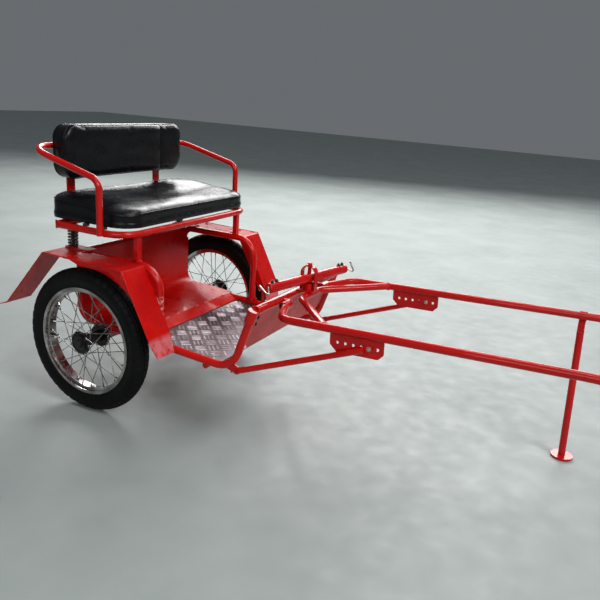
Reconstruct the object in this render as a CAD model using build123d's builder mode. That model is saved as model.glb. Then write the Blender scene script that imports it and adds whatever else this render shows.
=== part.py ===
from build123d import *
from math import atan2, cos, degrees, hypot, radians, sin, tan
import os

# A two-wheeled cart for a miniature horse: bent steel tube, wire wheels, sprung bench seat.
# Millimetres. +X is forward, +Y is the left side and Z = 0 is the ground.
# "ahead" and "behind" are measured from the wheels' axis. at() moves a distance ahead into
# the part's own frame, whose origin is on the ground under the middle of the whole cart.

# Reach of the cart
shaft_tip_ahead = 2080.0
flap_lip_behind = 440.0
axle_x = -(shaft_tip_ahead - flap_lip_behind) / 2

# Wheels
tyre_diameter = 570.0
tyre_width = 74.0
tyre_bead_gap = 0.3
rim_seat_radius = 204.0
rim_flange_radius = 213.0
rim_width = 56.0
rim_well_radius = 196.0
rim_well_width = 22.0
rim_gauge = 2.6
spoke_diameter = 3.2
spokes_per_flange = 18
spoke_lead = 60.0
spoke_seat_gap = 0.2
spoke_splay = 2.6
spoke_rim_offset = 5.0
spoke_rim_gap = 0.7
hub_flange_radius = 45.0
hub_spoke_radius = 44.0
hub_flange_width = 5.0
hub_outer_reach = 41.0
hub_inner_reach = 62.0
hub_barrel_radius = 23.0
hub_nose_radius = 28.0
hub_end_gap = 1.0
hub_frame_gap = 13.25
hub_nose_length = 6.0

# Axle
spindle_diameter = 20.0
spindle_running_gap = 0.06
axle_beam_size = 37.0
axle_beam_round = 3.0
axle_nut_radius = 15.0
axle_nut_width = 9.0

# Side frames of bent tube
weld_gap = 0.2
frame_tube = 28.5
frame_half_width = 338.0
rail_drop_angle = 3.5
rail_rear_behind = 30.0
rail_bend_ahead = 597.0
rail_bend_radius = 95.0
hoop_top_height = 597.0
hoop_fore_ahead = 270.0
hoop_rear_behind = 125.0
hoop_fore_radius = 92.0
hoop_rear_radius = 45.0
hoop_foot_radius = 62.0
foot_collar_radius = 22.0
foot_collar_height = 6.0

# Dash
dash_lean = 18.0
dash_top_height = 515.0
dash_tube = 34.0
dash_panel_gauge = 3.0
dash_panel_low = 356.0
dash_panel_corner = 42.0
dash_sleeve_wall = 5.0
dash_sleeve_height = 42.0
dash_upright_over = 3.0
dash_tongue_gauge = 5.0
dash_tongue_reach = 76.0
dash_tongue_drop = 78.0

# Floor
sheet_gauge = 3.0
floor_side_lap = 10.0
floor_fold_ahead = 151.0
floor_lip_ahead = 195.0
floor_lip_radius = 12.0
tread_drop = 8.0
tread_fore_ahead = 525.0
tread_lap = 14.0
tread_plate_gauge = 4.0
cross_tube = 24.0
cross_tube_ahead = 480.0

# Fenders
fender_gauge = 3.0
fender_width = 121.0
fender_rise = 6.0
fender_rear_rise = 8.0
fender_rear_behind = 180.0
fender_fore_ahead = 205.0
fender_fold_radius = 6.0
fender_fore_angle = 62.2
fender_fore_drop = 231.0
fender_flap_angle = 73.8
fender_flap_drop = 76.0
fender_flap_taper = 27.0
fender_flap_cut = 12.0
fender_rear_angle = 48.5
fender_rear_drop = 243.0
fender_lip_angle = 18.0
fender_skirt_depth = 32.0
fender_web_behind = 50.0
fender_web_drop = 12.0
fender_web_reach = 95.0
fender_side_gap = 0.4
stay_width = 26.0
stay_gauge = 4.0
stay_inset = 10.0
stay_rear_behind = 70.0
stay_fore_ahead = 120.0
flap_lug_inset = 45.0

# Seat
seat_tube = 26.0
seat_half_width = 420.0
seat_fore_ahead = 175.0
seat_rear_behind = 146.0
seat_corner_radius = 92.0
seat_post_size = 22.0
seat_post_round = 2.5
seat_post_ahead = 165.0
seat_back_bar_behind = 221.0
seat_back_bar_half = 318.0
spring_behind = 158.0
spring_diameter = 42.0
spring_wire = 8.5
spring_turns = 5
spring_length = 84.15
spring_plate_gauge = 5.0
spring_plate_width = 48.0
spring_plate_length = 125.0
spring_plate_corner = 8.0
seat_board_gauge = 9.0
seat_board_margin = 4.0
spacer_height = 9.0
spacer_radius = 12.0
spacer_inset = 8.0
spacer_fore_ahead = 72.0
spacer_rear_behind = 14.0
cushion_depth = 394.0
cushion_half_width = 410.0
cushion_thickness = 82.0
cushion_fore_ahead = 180.0
cushion_corner = 84.0
cushion_edge = 30.0
soft_gap = 0.3

# Backrest and arm rail
backrest_half_width = 354.0
backrest_rise = 44.7
backrest_height = 206.0
backrest_depth = 80.0
backrest_corner = 58.0
backrest_edge = 22.0
backrest_bar_offset = 262.0
backrest_bar_width = 38.0
backrest_bar_gauge = 8.0
backrest_bar_over = 25.0
backrest_bar_bend = 8.0
arm_tube = 24.0
arm_fore_ahead = 84.0
arm_bend_rise = 194.0
arm_rear_rise = 279.0
arm_foot_drop = 5.0
arm_fore_radius = 46.0
arm_rear_radius = 88.0

# Shafts: each height is a rise or a drop from the piece before it
shaft_tube = 28.5
shaft_half_gap = 314.0
shaft_eye_ahead = 709.0
shaft_eye_offset = 167.0
shaft_eye_drop = 11.0
shaft_eye_width = 40.0
shaft_eye_radius = 17.0
shaft_eye_bore = 12.4
shaft_bend_ahead = 770.0
shaft_bend_rise = 2.0
shaft_bend_radius = 60.0
shaft_fore_ahead = 1790.0
shaft_fore_rise = 43.0
shaft_fore_radius = 1200.0
shaft_tip_drop = 18.0
shaft_tip_round = 7.0
eye_lug_gauge = 8.0
eye_side_gap = 0.5
eye_bolt = 12.0
shaft_cross_tube = 27.0
shaft_cross_ahead = 727.0
shaft_cross_rise = 7.0
shaft_cross_offset = 75.0
shaft_cross_end_ahead = 938.0
shaft_cross_radius = 46.0

# Adjuster plates and braces
adjuster_gauge = 6.0
adjuster_rear_ahead = 958.0
adjuster_length = 189.0
adjuster_depth = 62.0
adjuster_corner_back = 25.0
adjuster_corner_fore = 18.0
adjuster_hole = 10.4
adjuster_holes = 6
adjuster_pitch = 28.3
adjuster_first_hole = 27.0
adjuster_hole_drop = 28.0
brace_hole_number = 5
brace_tube = 21.0
brace_eye_radius = 13.0
brace_eye_width = 6.0
brace_eye_run = 19.5
brace_tab_reach = 21.0
brace_tab_rise = 2.0
brace_tab_root = 24.0
brace_tab_gauge = 6.0
brace_tab_radius = 15.0

# Singletree
pivot_ahead = 716.0
bar_diameter = 38.0
bar_half_length = 235.0
bar_end_round = 5.0
bar_swing_at_rest = -12.0
bar_bore = 14.4
pivot_pin = 14.2
pivot_boss_radius = 20.0
pivot_boss_height = 24.3
pivot_boss_gap = 1.0
bracket_gauge = 6.0
bracket_width = 64.0
bracket_corner = 10.0
bracket_fore_over = 9.0
strap_gauge = 5.0
strap_width = 24.0
strap_clearance = 8.0
strap_top_gap = 28.0
hook_wire = 7.0
hook_bend = 9.0
hook_root_rise = 6.0
hook_tip = (30.0, 32.0, 16.0)
hook_return = (44.0, 4.0, 20.0)

# Prop leg under the left shaft
leg_ahead = 1684.0
leg_tube = 26.0
leg_foot_radius = 40.0
leg_foot_height = 9.0
leg_foot_ahead = 1709.0
leg_foot_inset = 56.0
leg_pivot_drop = 34.0
leg_pin_diameter = 8.0
leg_pin_gap = 0.1
leg_pin_over = 3.0
clamp_band = 4.0
clamp_width = 26.0
clamp_gap = 0.1
clamp_lug_gauge = 8.0
leg_ear_gauge = 4.0
leg_ear_gap = 0.4
leg_ear_radius = 12.0
leg_ear_drop = 26.0
leg_ear_block = 10.0

# Values worked out from the sizes above
SIDES = (("right", -1), ("left", 1))
wheel_radius = tyre_diameter / 2
tube_radius = frame_tube / 2
track = 2 * (frame_half_width + tube_radius + hub_frame_gap + hub_inner_reach + hub_flange_width / 2)
dash_tube_radius = dash_tube / 2
fender_height = hoop_top_height + fender_rise
rail_slope = tan(radians(rail_drop_angle))
rail_drop = tube_radius / cos(radians(rail_drop_angle))
rail_height_at_axle = wheel_radius + axle_beam_size / 2 * (1 + rail_slope) + weld_gap + rail_drop
between_tubes = frame_half_width - tube_radius - weld_gap
shaft_eye_height = dash_top_height - shaft_eye_drop
shaft_bend_height = shaft_eye_height + shaft_bend_rise
shaft_fore_height = shaft_bend_height + shaft_fore_rise
shaft_tip_height = shaft_fore_height - shaft_tip_drop
shaft_slope = shaft_fore_rise / (shaft_fore_ahead - shaft_bend_ahead)
shaft_slope_angle = degrees(atan2(shaft_slope, 1))
shaft_cross_height = shaft_eye_height + shaft_cross_rise
bracket_low = shaft_cross_height + shaft_cross_tube / 2 + weld_gap
bracket_high = bracket_low + bracket_gauge
bar_height = bracket_high + pivot_boss_height + pivot_boss_gap + bar_diameter / 2
post_low = hoop_top_height + tube_radius + weld_gap
spring_base = post_low + spring_plate_gauge
post_high = spring_base + 2 * weld_gap + spring_length
seat_frame_height = post_high + weld_gap + seat_tube / 2
board_low = seat_frame_height + seat_tube / 2 + spacer_height
board_high = board_low + seat_board_gauge
backrest_low = board_high + soft_gap + cushion_thickness + backrest_rise
backrest_high = backrest_low + backrest_height
arm_bend_height = seat_frame_height + arm_bend_rise
arm_rear_height = seat_frame_height + arm_rear_rise


def at(ahead):
    return axle_x + ahead


def rail_height(ahead):
    """Height of the centre of the floor rails."""
    return rail_height_at_axle - rail_slope * ahead


def floor_height(ahead):
    """Height of the middle of the red sheet that lies on the rails."""
    return rail_height(ahead) + rail_drop + weld_gap + sheet_gauge / 2


def tread_height(ahead):
    """Height of the middle of the tread plate between the rails."""
    return rail_height(ahead) - tread_drop


def dash_ahead(height):
    return rail_bend_ahead + (height - rail_height(rail_bend_ahead)) * tan(radians(dash_lean))


def shaft_height(ahead):
    return shaft_bend_height + shaft_slope * (ahead - shaft_bend_ahead)


def fender_top(ahead):
    run = fender_fore_ahead + fender_rear_behind
    return fender_height + fender_rear_rise * (fender_fore_ahead - ahead) / run


os.makedirs("parts", exist_ok=True)


def save(piece, name):
    piece.part.label = name
    export_step(piece.part, "parts/" + name + ".step")


def bent_tube(points, radii, diameter):
    """A round tube along straight runs joined by tangent arcs."""
    with BuildPart() as tube:
        with BuildLine() as path:
            if len(points) > 2:
                FilletPolyline(*points, radius=radii)
            else:
                Line(*points)
        with BuildSketch(Plane(origin=path.line @ 0, z_dir=path.line % 0)):
            Circle(diameter / 2)
        sweep()
    return tube


def folded_sheet(points, radii, gauge, low_y, high_y):
    """A sheet of even gauge along a path in an XZ plane, between two Y values."""
    middle = (low_y + high_y) / 2
    with BuildPart() as sheet:
        with BuildLine() as path:
            if len(points) > 2:
                FilletPolyline(*[(x, middle, z) for x, z in points], radius=radii)
            else:
                Line(*[(x, middle, z) for x, z in points])
        with BuildSketch(Plane(origin=path.line @ 0, x_dir=(0, 1, 0), z_dir=path.line % 0)):
            Rectangle(high_y - low_y, gauge)
        sweep()
    return sheet


def box_between(low, high, mode=Mode.ADD):
    """A box from its lowest to its highest corner."""
    size = [b - a for a, b in zip(low, high)]
    middle = [(a + b) / 2 for a, b in zip(low, high)]
    with Locations(tuple(middle)):
        return Box(*size, mode=mode)


def side_plane(y):
    """A vertical plane along the cart, with its own x forward and its own y up."""
    return Plane(origin=(0, y, 0), x_dir=(1, 0, 0), z_dir=(0, -1, 0))


# Wheels: the section is drawn in the YZ plane above the axis, and turned about it.
def wheel_section_plane():
    return Plane(origin=(axle_x, 0, wheel_radius), x_dir=(0, 1, 0), z_dir=(1, 0, 0))


def wheel_axis():
    return Axis((axle_x, 0, wheel_radius), (0, 1, 0))


def make_tyre(name, side):
    middle = side * track / 2
    half = tyre_width / 2
    bead = rim_width / 2 - rim_gauge - tyre_bead_gap
    seat = rim_seat_radius + tyre_bead_gap
    carcass = wheel_radius - half
    shoulder = carcass - (half ** 2 - bead ** 2) ** 0.5
    low, high = middle - bead, middle + bead
    with BuildPart() as tyre:
        with BuildSketch(wheel_section_plane()):
            with BuildLine():
                Polyline((low, shoulder), (low, seat), (high, seat), (high, shoulder))
                ThreePointArc((high, shoulder), (middle + half, carcass), (middle, wheel_radius))
                ThreePointArc((middle, wheel_radius), (middle - half, carcass), (low, shoulder))
            make_face()
        revolve(axis=wheel_axis())
    save(tyre, "tyre_" + name)


def make_rim(name, side):
    middle = side * track / 2
    half = rim_width / 2
    well = rim_well_width / 2
    outer = [(half, rim_flange_radius),
             (half - rim_gauge, rim_flange_radius),
             (half - rim_gauge, rim_seat_radius),
             (well + rim_gauge, rim_seat_radius),
             (well, rim_well_radius)]
    inner = [(half, rim_seat_radius - rim_gauge),
             (well + 2 * rim_gauge, rim_seat_radius - rim_gauge),
             (well + rim_gauge, rim_well_radius - rim_gauge)]
    loop = [(middle + y, r) for y, r in outer]
    loop += [(middle - y, r) for y, r in reversed(outer)]
    loop += [(middle - y, r) for y, r in inner]
    loop += [(middle + y, r) for y, r in reversed(inner)]
    with BuildPart() as rim:
        with BuildSketch(wheel_section_plane()):
            with BuildLine():
                Polyline(*loop, close=True)
            make_face()
        revolve(axis=wheel_axis())
    save(rim, "rim_" + name)


def make_hub(name, side):
    middle = side * track / 2
    outer = middle + side * hub_outer_reach
    inner = middle - side * hub_inner_reach
    width = side * hub_flange_width / 2
    nose = outer + width + side * hub_nose_length
    bore = spindle_diameter / 2 + spindle_running_gap
    section = [(nose, bore),
               (nose, hub_nose_radius),
               (outer + width, hub_nose_radius),
               (outer + width, hub_flange_radius),
               (outer - width, hub_flange_radius),
               (outer - width, hub_barrel_radius),
               (inner + width, hub_barrel_radius),
               (inner + width, hub_flange_radius),
               (inner - width, hub_flange_radius),
               (inner - width, bore)]
    with BuildPart() as hub:
        with BuildSketch(wheel_section_plane()):
            with BuildLine():
                Polyline(*section, close=True)
            make_face()
        revolve(axis=wheel_axis())
    save(hub, "hub_" + name)


def make_spokes(name, side):
    """Half of each flange's spokes lead from its outer face and half trail from its inner face."""
    middle = side * track / 2
    stand_off = hub_flange_width / 2 + spoke_diameter / 2 + spoke_seat_gap
    rim_end = rim_well_radius - rim_gauge - spoke_rim_gap
    step = 360 / spokes_per_flange
    flanges = ((side * hub_outer_reach, side * spoke_rim_offset, 0.0),
               (-side * hub_inner_reach, -side * spoke_rim_offset, step / 2))
    with BuildPart() as spokes:
        for flange, rim_offset, first in flanges:
            for number in range(spokes_per_flange):
                turn = 1 if number % 2 else -1
                angle = radians(first + number * step)
                rim_angle = angle + radians(turn * spoke_lead)
                splay = spoke_splay if turn * flange > 0 else 0
                start = Vector(axle_x + hub_spoke_radius * cos(angle),
                               middle + flange + turn * (stand_off + splay),
                               wheel_radius + hub_spoke_radius * sin(angle))
                end = Vector(axle_x + rim_end * cos(rim_angle),
                             middle + rim_offset,
                             wheel_radius + rim_end * sin(rim_angle))
                with BuildSketch(Plane(origin=start, z_dir=end - start)):
                    Circle(spoke_diameter / 2)
                extrude(amount=(end - start).length)
    save(spokes, "spokes_" + name)


for name, side in SIDES:
    make_tyre(name, side)
    make_rim(name, side)
    make_hub(name, side)
    make_spokes(name, side)

# Axle beam under the rails, with the wheels' spindles and nuts on its ends
beam_half = frame_half_width + tube_radius
hub_outer_end = track / 2 + hub_outer_reach + hub_flange_width / 2 + hub_nose_length
nut_start = hub_outer_end + hub_end_gap
spindle_end = nut_start + axle_nut_width
with BuildPart() as axle_beam:
    with Locations((axle_x, 0, wheel_radius)):
        Box(axle_beam_size, 2 * beam_half, axle_beam_size)
    fillet(axle_beam.edges().filter_by(Axis.Y), radius=axle_beam_round)
    with Locations((axle_x, 0, wheel_radius)):
        Cylinder(spindle_diameter / 2, 2 * spindle_end, rotation=(90, 0, 0))
    for side in (-1, 1):
        nut = Plane(origin=(axle_x, side * nut_start, wheel_radius), x_dir=(1, 0, 0), z_dir=(0, side, 0))
        with BuildSketch(nut):
            RegularPolygon(axle_nut_radius, 6)
        extrude(amount=axle_nut_width)
save(axle_beam, "axle_beam")

# Dash frame: its top tube lies square to the leaning uprights
dash_top = Vector(at(dash_ahead(dash_top_height)), 0, dash_top_height)
dash_up = Vector(sin(radians(dash_lean)), 0, cos(radians(dash_lean)))
dash_front = Vector(cos(radians(dash_lean)), 0, -sin(radians(dash_lean)))
dash_plane = Plane(origin=dash_top, x_dir=(0, 1, 0), z_dir=dash_front)


# Side frames: a hoop over the wheel and a rail that bends up into the dash
def hoop_points(y):
    collar_lift = rail_slope * foot_collar_radius + weld_gap
    foot = rail_height(hoop_fore_ahead) + rail_drop + collar_lift
    return [(at(hoop_fore_ahead), y, foot),
            (at(hoop_fore_ahead), y, hoop_top_height),
            (at(-hoop_rear_behind), y, hoop_top_height),
            (at(-hoop_rear_behind), y, rail_height(-hoop_rear_behind)),
            (at(-rail_rear_behind), y, rail_height(-rail_rear_behind))]


def rail_points(y):
    top = dash_top + dash_up * dash_upright_over
    return [(at(-rail_rear_behind), y, rail_height(-rail_rear_behind)),
            (at(rail_bend_ahead), y, rail_height(rail_bend_ahead)),
            (top.X, y, top.Z)]


def hoop_tube(y, diameter):
    return bent_tube(hoop_points(y), (hoop_fore_radius, hoop_rear_radius, hoop_foot_radius), diameter)


def rail_tube(y, diameter):
    return bent_tube(rail_points(y), rail_bend_radius, diameter)


for name, side in SIDES:
    y = side * frame_half_width
    tube = hoop_tube(y, frame_tube)
    with BuildPart() as hoop:
        add(tube.part)
        with BuildSketch(Plane(origin=hoop_points(y)[0])):
            Circle(foot_collar_radius)
        extrude(amount=foot_collar_height)
    save(hoop, "side_hoop_" + name)
    save(rail_tube(y, frame_tube), "floor_rail_" + name)
socket_size = frame_tube + 2 * weld_gap
hoop_sockets = [hoop_tube(side * frame_half_width, socket_size) for name, side in SIDES]
rail_sockets = [rail_tube(side * frame_half_width, socket_size) for name, side in SIDES]

# Cross tubes: behind the top of the floor's riser, and under the front of the floor
riser_x = at(-hoop_rear_behind)
riser_cross = bent_tube([(riser_x, -between_tubes, hoop_top_height), (riser_x, between_tubes, hoop_top_height)],
                        None, frame_tube)
save(riser_cross, "riser_cross_tube")
cross_height = tread_height(cross_tube_ahead) - (tread_plate_gauge + cross_tube) / 2 - weld_gap
with BuildPart() as floor_cross:
    with Locations((at(cross_tube_ahead), 0, cross_height)):
        Cylinder(cross_tube / 2, 2 * frame_half_width, rotation=(90, 0, 0))
    for socket in rail_sockets:
        add(socket.part, mode=Mode.SUBTRACT)
save(floor_cross, "floor_cross_tube")

# Floor sheet: down behind the feet, forward over the rails, then a lip down to the tread plate
sheet_set_back = tube_radius + weld_gap + sheet_gauge / 2
sheet_x = riser_x + sheet_set_back
sheet_behind = hoop_rear_behind - sheet_set_back
sheet_half = frame_half_width + floor_side_lap
lip_low = tread_height(floor_lip_ahead) + (tread_plate_gauge + sheet_gauge) / 2 + weld_gap
main_sheet = folded_sheet([(sheet_x, hoop_top_height),
                           (sheet_x, floor_height(-sheet_behind)),
                           (at(floor_fold_ahead), floor_height(floor_fold_ahead))],
                          hoop_foot_radius - sheet_set_back, sheet_gauge, -sheet_half, sheet_half)
lip_root = floor_fold_ahead - 2 * floor_lip_radius
lip_sheet = folded_sheet([(at(lip_root), floor_height(lip_root)),
                          (at(floor_fold_ahead), floor_height(floor_fold_ahead)),
                          (at(floor_lip_ahead), lip_low)],
                         floor_lip_radius, sheet_gauge, -between_tubes, between_tubes)
with BuildPart() as floor_sheet:
    add(main_sheet.part)
    add(lip_sheet.part)
    for side in (-1, 1):
        low_y, high_y = sorted((side * between_tubes, side * (sheet_half + sheet_gauge)))
        box_between((sheet_x - sheet_gauge, low_y, hoop_top_height - hoop_rear_radius),
                    (sheet_x + sheet_gauge, high_y, hoop_top_height + sheet_gauge), Mode.SUBTRACT)
save(floor_sheet, "floor_sheet")

# Tread plate between the rails, a little below their centres
tread_side = (tube_radius ** 2 - (tread_drop - tread_plate_gauge / 2) ** 2) ** 0.5 + weld_gap
tread_half = frame_half_width - tread_side
tread_rear_ahead = floor_lip_ahead - tread_lap
tread_path = [(at(ahead), tread_height(ahead)) for ahead in (tread_rear_ahead, tread_fore_ahead)]
tread_plate = folded_sheet(tread_path, None, tread_plate_gauge, -tread_half, tread_half)
save(tread_plate, "tread_plate")

# Dash: a sleeve caps each upright and carries a tongue behind the panel, with the top tube between
sleeve_radius = tube_radius + dash_sleeve_wall
dash_tube_half = frame_half_width - sleeve_radius - weld_gap
with BuildPart() as dash_top_tube:
    with Locations((dash_top.X, 0, dash_top.Z)):
        Cylinder(dash_tube_radius, 2 * dash_tube_half, rotation=(90, 0, 0))
save(dash_top_tube, "dash_top_tube")
panel_top = dash_tube_radius + weld_gap
panel_drop = (dash_top_height - dash_panel_low) / cos(radians(dash_lean))
sleeve_drop = dash_sleeve_height + weld_gap
with BuildPart() as dash_panel:
    with BuildSketch(dash_plane):
        with BuildLine():
            half_panel = [(0, -panel_top), (dash_tube_half, -panel_top), (dash_tube_half, -sleeve_drop),
                          (between_tubes, -sleeve_drop), (between_tubes, dash_panel_corner - panel_drop),
                          (between_tubes - dash_panel_corner, -panel_drop)]
            Polyline(*half_panel, *[(-x, y) for x, y in reversed(half_panel)][:-1], close=True)
        make_face()
    extrude(amount=dash_panel_gauge / 2, both=True)
save(dash_panel, "dash_panel")
tongue_rear = dash_panel_gauge / 2 + weld_gap
with BuildPart() as dash_brackets:
    for side in (-1, 1):
        cap = dash_top + dash_up * (dash_upright_over + weld_gap + dash_sleeve_wall)
        with BuildSketch(Plane(origin=(cap.X, side * frame_half_width, cap.Z), x_dir=(0, 1, 0), z_dir=dash_up)):
            Circle(sleeve_radius)
        extrude(amount=-(dash_sleeve_height + dash_upright_over + dash_sleeve_wall))
        with BuildSketch(dash_plane.offset(-tongue_rear)):
            middle_y = side * (frame_half_width - dash_tongue_reach / 2)
            with Locations((middle_y, -(panel_top + dash_tongue_drop) / 2)):
                Rectangle(dash_tongue_reach, dash_tongue_drop - panel_top)
        extrude(amount=-dash_tongue_gauge)
    for socket in rail_sockets:
        add(socket.part, mode=Mode.SUBTRACT)
save(dash_brackets, "dash_brackets")


# Fenders: a folded strip over each tyre, a skirt inside the front slope and a web in its outer corner
def fender_points():
    front_low = fender_fore_ahead + fender_fore_drop / tan(radians(fender_fore_angle))
    front_low_height = fender_height - fender_fore_drop
    flap_end = front_low + fender_flap_drop / tan(radians(fender_flap_angle))
    rear_height = fender_height + fender_rear_rise
    rear_low = fender_rear_behind + fender_rear_drop / tan(radians(fender_rear_angle))
    rear_low_height = rear_height - fender_rear_drop
    lip_drop = (flap_lip_behind - rear_low) * tan(radians(fender_lip_angle))
    return [(at(-flap_lip_behind), rear_low_height - lip_drop),
            (at(-rear_low), rear_low_height),
            (at(-fender_rear_behind), rear_height),
            (at(fender_fore_ahead), fender_height),
            (at(front_low), front_low_height),
            (at(flap_end), front_low_height - fender_flap_drop)]


fender_inner = frame_half_width + tube_radius + fender_side_gap
fender_outer = fender_inner + fender_width
sheet_line = [(x, z - fender_gauge / 2) for x, z in fender_points()]
bend, slope_low, flap_low = sheet_line[3:]
slope_run = Vector(slope_low[0] - bend[0], slope_low[1] - bend[1]).normalized()
skirt_in = Vector(slope_run.Y, -slope_run.X) * fender_skirt_depth
web_rear = (at(-fender_web_behind), fender_top(-fender_web_behind) - fender_gauge / 2)
web_height = fender_height - fender_web_drop
web_low = (bend[0] + fender_web_reach / tan(radians(fender_fore_angle)), bend[1] - fender_web_reach)
web_radius = hypot(web_low[0] - axle_x, web_low[1] - wheel_radius)
web_start = (axle_x + (web_radius ** 2 - (web_height - wheel_radius) ** 2) ** 0.5, web_height)
web_turns = [atan2(z - wheel_radius, x - axle_x) for x, z in (web_start, web_low)]
web_turn = sum(web_turns) / 2
web_middle = (axle_x + web_radius * cos(web_turn), wheel_radius + web_radius * sin(web_turn))
for name, side in SIDES:
    low_y, high_y = sorted((side * fender_inner, side * fender_outer))
    strip = folded_sheet(sheet_line, fender_fold_radius, fender_gauge, low_y, high_y)
    with BuildPart() as fender:
        add(strip.part)
        with BuildSketch(side_plane(side * fender_inner)):
            with BuildLine():
                Polyline(bend, slope_low,
                         (slope_low[0] + skirt_in.X, slope_low[1] + skirt_in.Y),
                         (bend[0] + skirt_in.X, bend[1] + skirt_in.Y), close=True)
            make_face()
        extrude(amount=-side * fender_gauge)
        with BuildSketch(side_plane(side * fender_outer)):
            with BuildLine():
                Polyline(web_low, bend, web_rear, (axle_x, web_height), web_start)
                ThreePointArc(web_start, web_middle, web_low)
            make_face()
        extrude(amount=side * fender_gauge)
        with BuildSketch(Plane(origin=(slope_low[0], 0, 0), x_dir=(0, 1, 0), z_dir=(1, 0, 0))):
            with BuildLine():
                Polyline((side * fender_outer, slope_low[1] - fender_flap_cut),
                         (side * (fender_outer - fender_flap_taper), flap_low[1] - fender_gauge),
                         (side * (fender_outer + fender_gauge), flap_low[1] - fender_gauge),
                         (side * (fender_outer + fender_gauge), slope_low[1] - fender_flap_cut), close=True)
            make_face()
        extrude(amount=fender_flap_drop, both=True, mode=Mode.SUBTRACT)
    save(fender, "fender_" + name)

# Stays of each fender: two flat bars coped to the hoop, and a lug on the rail behind the front flap
flap_behind = slope_low[0] - fender_gauge - weld_gap
lug_low = rail_height(flap_behind - axle_x - stay_gauge) + rail_drop + weld_gap
lug_high = slope_low[1] - stay_gauge - fender_gauge
for name, side in SIDES:
    with BuildPart() as stays:
        low_y, high_y = sorted((side * frame_half_width, side * (fender_outer - stay_inset)))
        for place in (-stay_rear_behind, stay_fore_ahead):
            high = fender_top(place + stay_width / 2) - fender_gauge - weld_gap
            box_between((at(place) - stay_width / 2, low_y, high - stay_gauge),
                        (at(place) + stay_width / 2, high_y, high))
        for socket in hoop_sockets:
            add(socket.part, mode=Mode.SUBTRACT)
        low_y, high_y = sorted((side * frame_half_width, side * (fender_outer - flap_lug_inset)))
        box_between((flap_behind - stay_gauge, low_y, lug_low), (flap_behind, high_y, lug_high))
    save(stays, "fender_stays_" + name)

# Seat frame: a tube bent round the front, with a back bar and a bar over the springs
seat_path = [(at(-seat_rear_behind), -seat_half_width, seat_frame_height),
             (at(seat_fore_ahead), -seat_half_width, seat_frame_height),
             (at(seat_fore_ahead), seat_half_width, seat_frame_height),
             (at(-seat_rear_behind), seat_half_width, seat_frame_height)]
save(bent_tube(seat_path, seat_corner_radius, seat_tube), "seat_frame")
spring_bar_half = seat_half_width - seat_tube / 2 - weld_gap
SEAT_BARS = (("seat_back_bar", seat_back_bar_behind, seat_back_bar_half),
             ("seat_spring_bar", spring_behind, spring_bar_half))
for name, behind, half in SEAT_BARS:
    ends = [(at(-behind), side * half, seat_frame_height) for side in (-1, 1)]
    save(bent_tube(ends, None, seat_tube), name)

# Posts in front, and coil springs on their plates behind, carry the seat frame on the hoops
with BuildPart() as seat_posts:
    for side in (-1, 1):
        with BuildSketch(Plane(origin=(at(seat_post_ahead), side * frame_half_width, post_low))):
            RectangleRounded(seat_post_size, seat_post_size, seat_post_round)
        extrude(amount=post_high - post_low)
save(seat_posts, "seat_posts")
spring_pitch = (post_high - spring_base - 2 * weld_gap) / spring_turns
coil_radius = (spring_diameter - spring_wire) / 2
plate_rear = at(-spring_behind) - spring_plate_width / 2
with BuildPart() as spring_plates:
    for side in (-1, 1):
        y = side * frame_half_width
        box_between((plate_rear, y - spring_plate_width / 2, post_low),
                    (plate_rear + spring_plate_length, y + spring_plate_width / 2, spring_base))
    fillet(spring_plates.edges().filter_by(Axis.Z), radius=spring_plate_corner)
save(spring_plates, "spring_plates")
with BuildPart() as seat_springs:
    for side in (-1, 1):
        y = side * frame_half_width
        coil_foot = Plane(origin=(at(-spring_behind), y, spring_base + weld_gap),
                          x_dir=(1, 0, 0), z_dir=(0, -1, 0))
        with BuildSketch(coil_foot):
            Rectangle(coil_radius, spring_pitch * spring_turns, align=(Align.MIN, Align.MIN))
            for turn in range(spring_turns):
                with Locations((coil_radius, spring_pitch * (turn + 0.5))):
                    Circle(spring_wire / 2)
        revolve(axis=Axis((at(-spring_behind), y, 0), (0, 0, 1)))
save(seat_springs, "seat_springs")

# Seat board on its spacers, the cushion on the board, and the backrest
cushion_middle = cushion_fore_ahead - cushion_depth / 2
board_half_width = cushion_half_width - seat_board_margin
with BuildPart() as seat_board:
    with BuildSketch(Plane(origin=(at(cushion_middle), 0, board_low))):
        RectangleRounded(cushion_depth - 2 * seat_board_margin, 2 * board_half_width,
                         cushion_corner - seat_board_margin)
    extrude(amount=seat_board_gauge)
    with BuildSketch(Plane(origin=(0, 0, board_low))):
        for ahead in (spacer_fore_ahead, -spacer_rear_behind):
            for side in (-1, 1):
                with Locations((at(ahead), side * (seat_half_width - spacer_inset))):
                    Circle(spacer_radius)
    extrude(amount=-(spacer_height - weld_gap))
save(seat_board, "seat_board")
with BuildPart() as seat_cushion:
    with BuildSketch(Plane(origin=(at(cushion_middle), 0, board_high + soft_gap))):
        RectangleRounded(cushion_depth, 2 * cushion_half_width, cushion_corner)
    extrude(amount=cushion_thickness)
    fillet(seat_cushion.faces().sort_by(Axis.Z)[-1].edges(), radius=cushion_edge)
save(seat_cushion, "seat_cushion")
bar_front = seat_back_bar_behind + seat_tube / 2 + weld_gap
pad_plane = Plane(origin=(at(soft_gap - bar_front), 0, (backrest_low + backrest_high) / 2),
                  x_dir=(0, 1, 0), z_dir=(1, 0, 0))
with BuildPart() as backrest_pad:
    with BuildSketch(pad_plane):
        RectangleRounded(2 * backrest_half_width, backrest_high - backrest_low, backrest_corner)
    extrude(amount=backrest_depth)
    fillet(backrest_pad.faces().sort_by(Axis.X)[-1].edges(), radius=backrest_edge)
save(backrest_pad, "backrest_pad")
bar_line = bar_front + backrest_bar_gauge / 2
bar_foot = seat_frame_height + seat_tube / 2 + weld_gap + backrest_bar_gauge / 2
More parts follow.
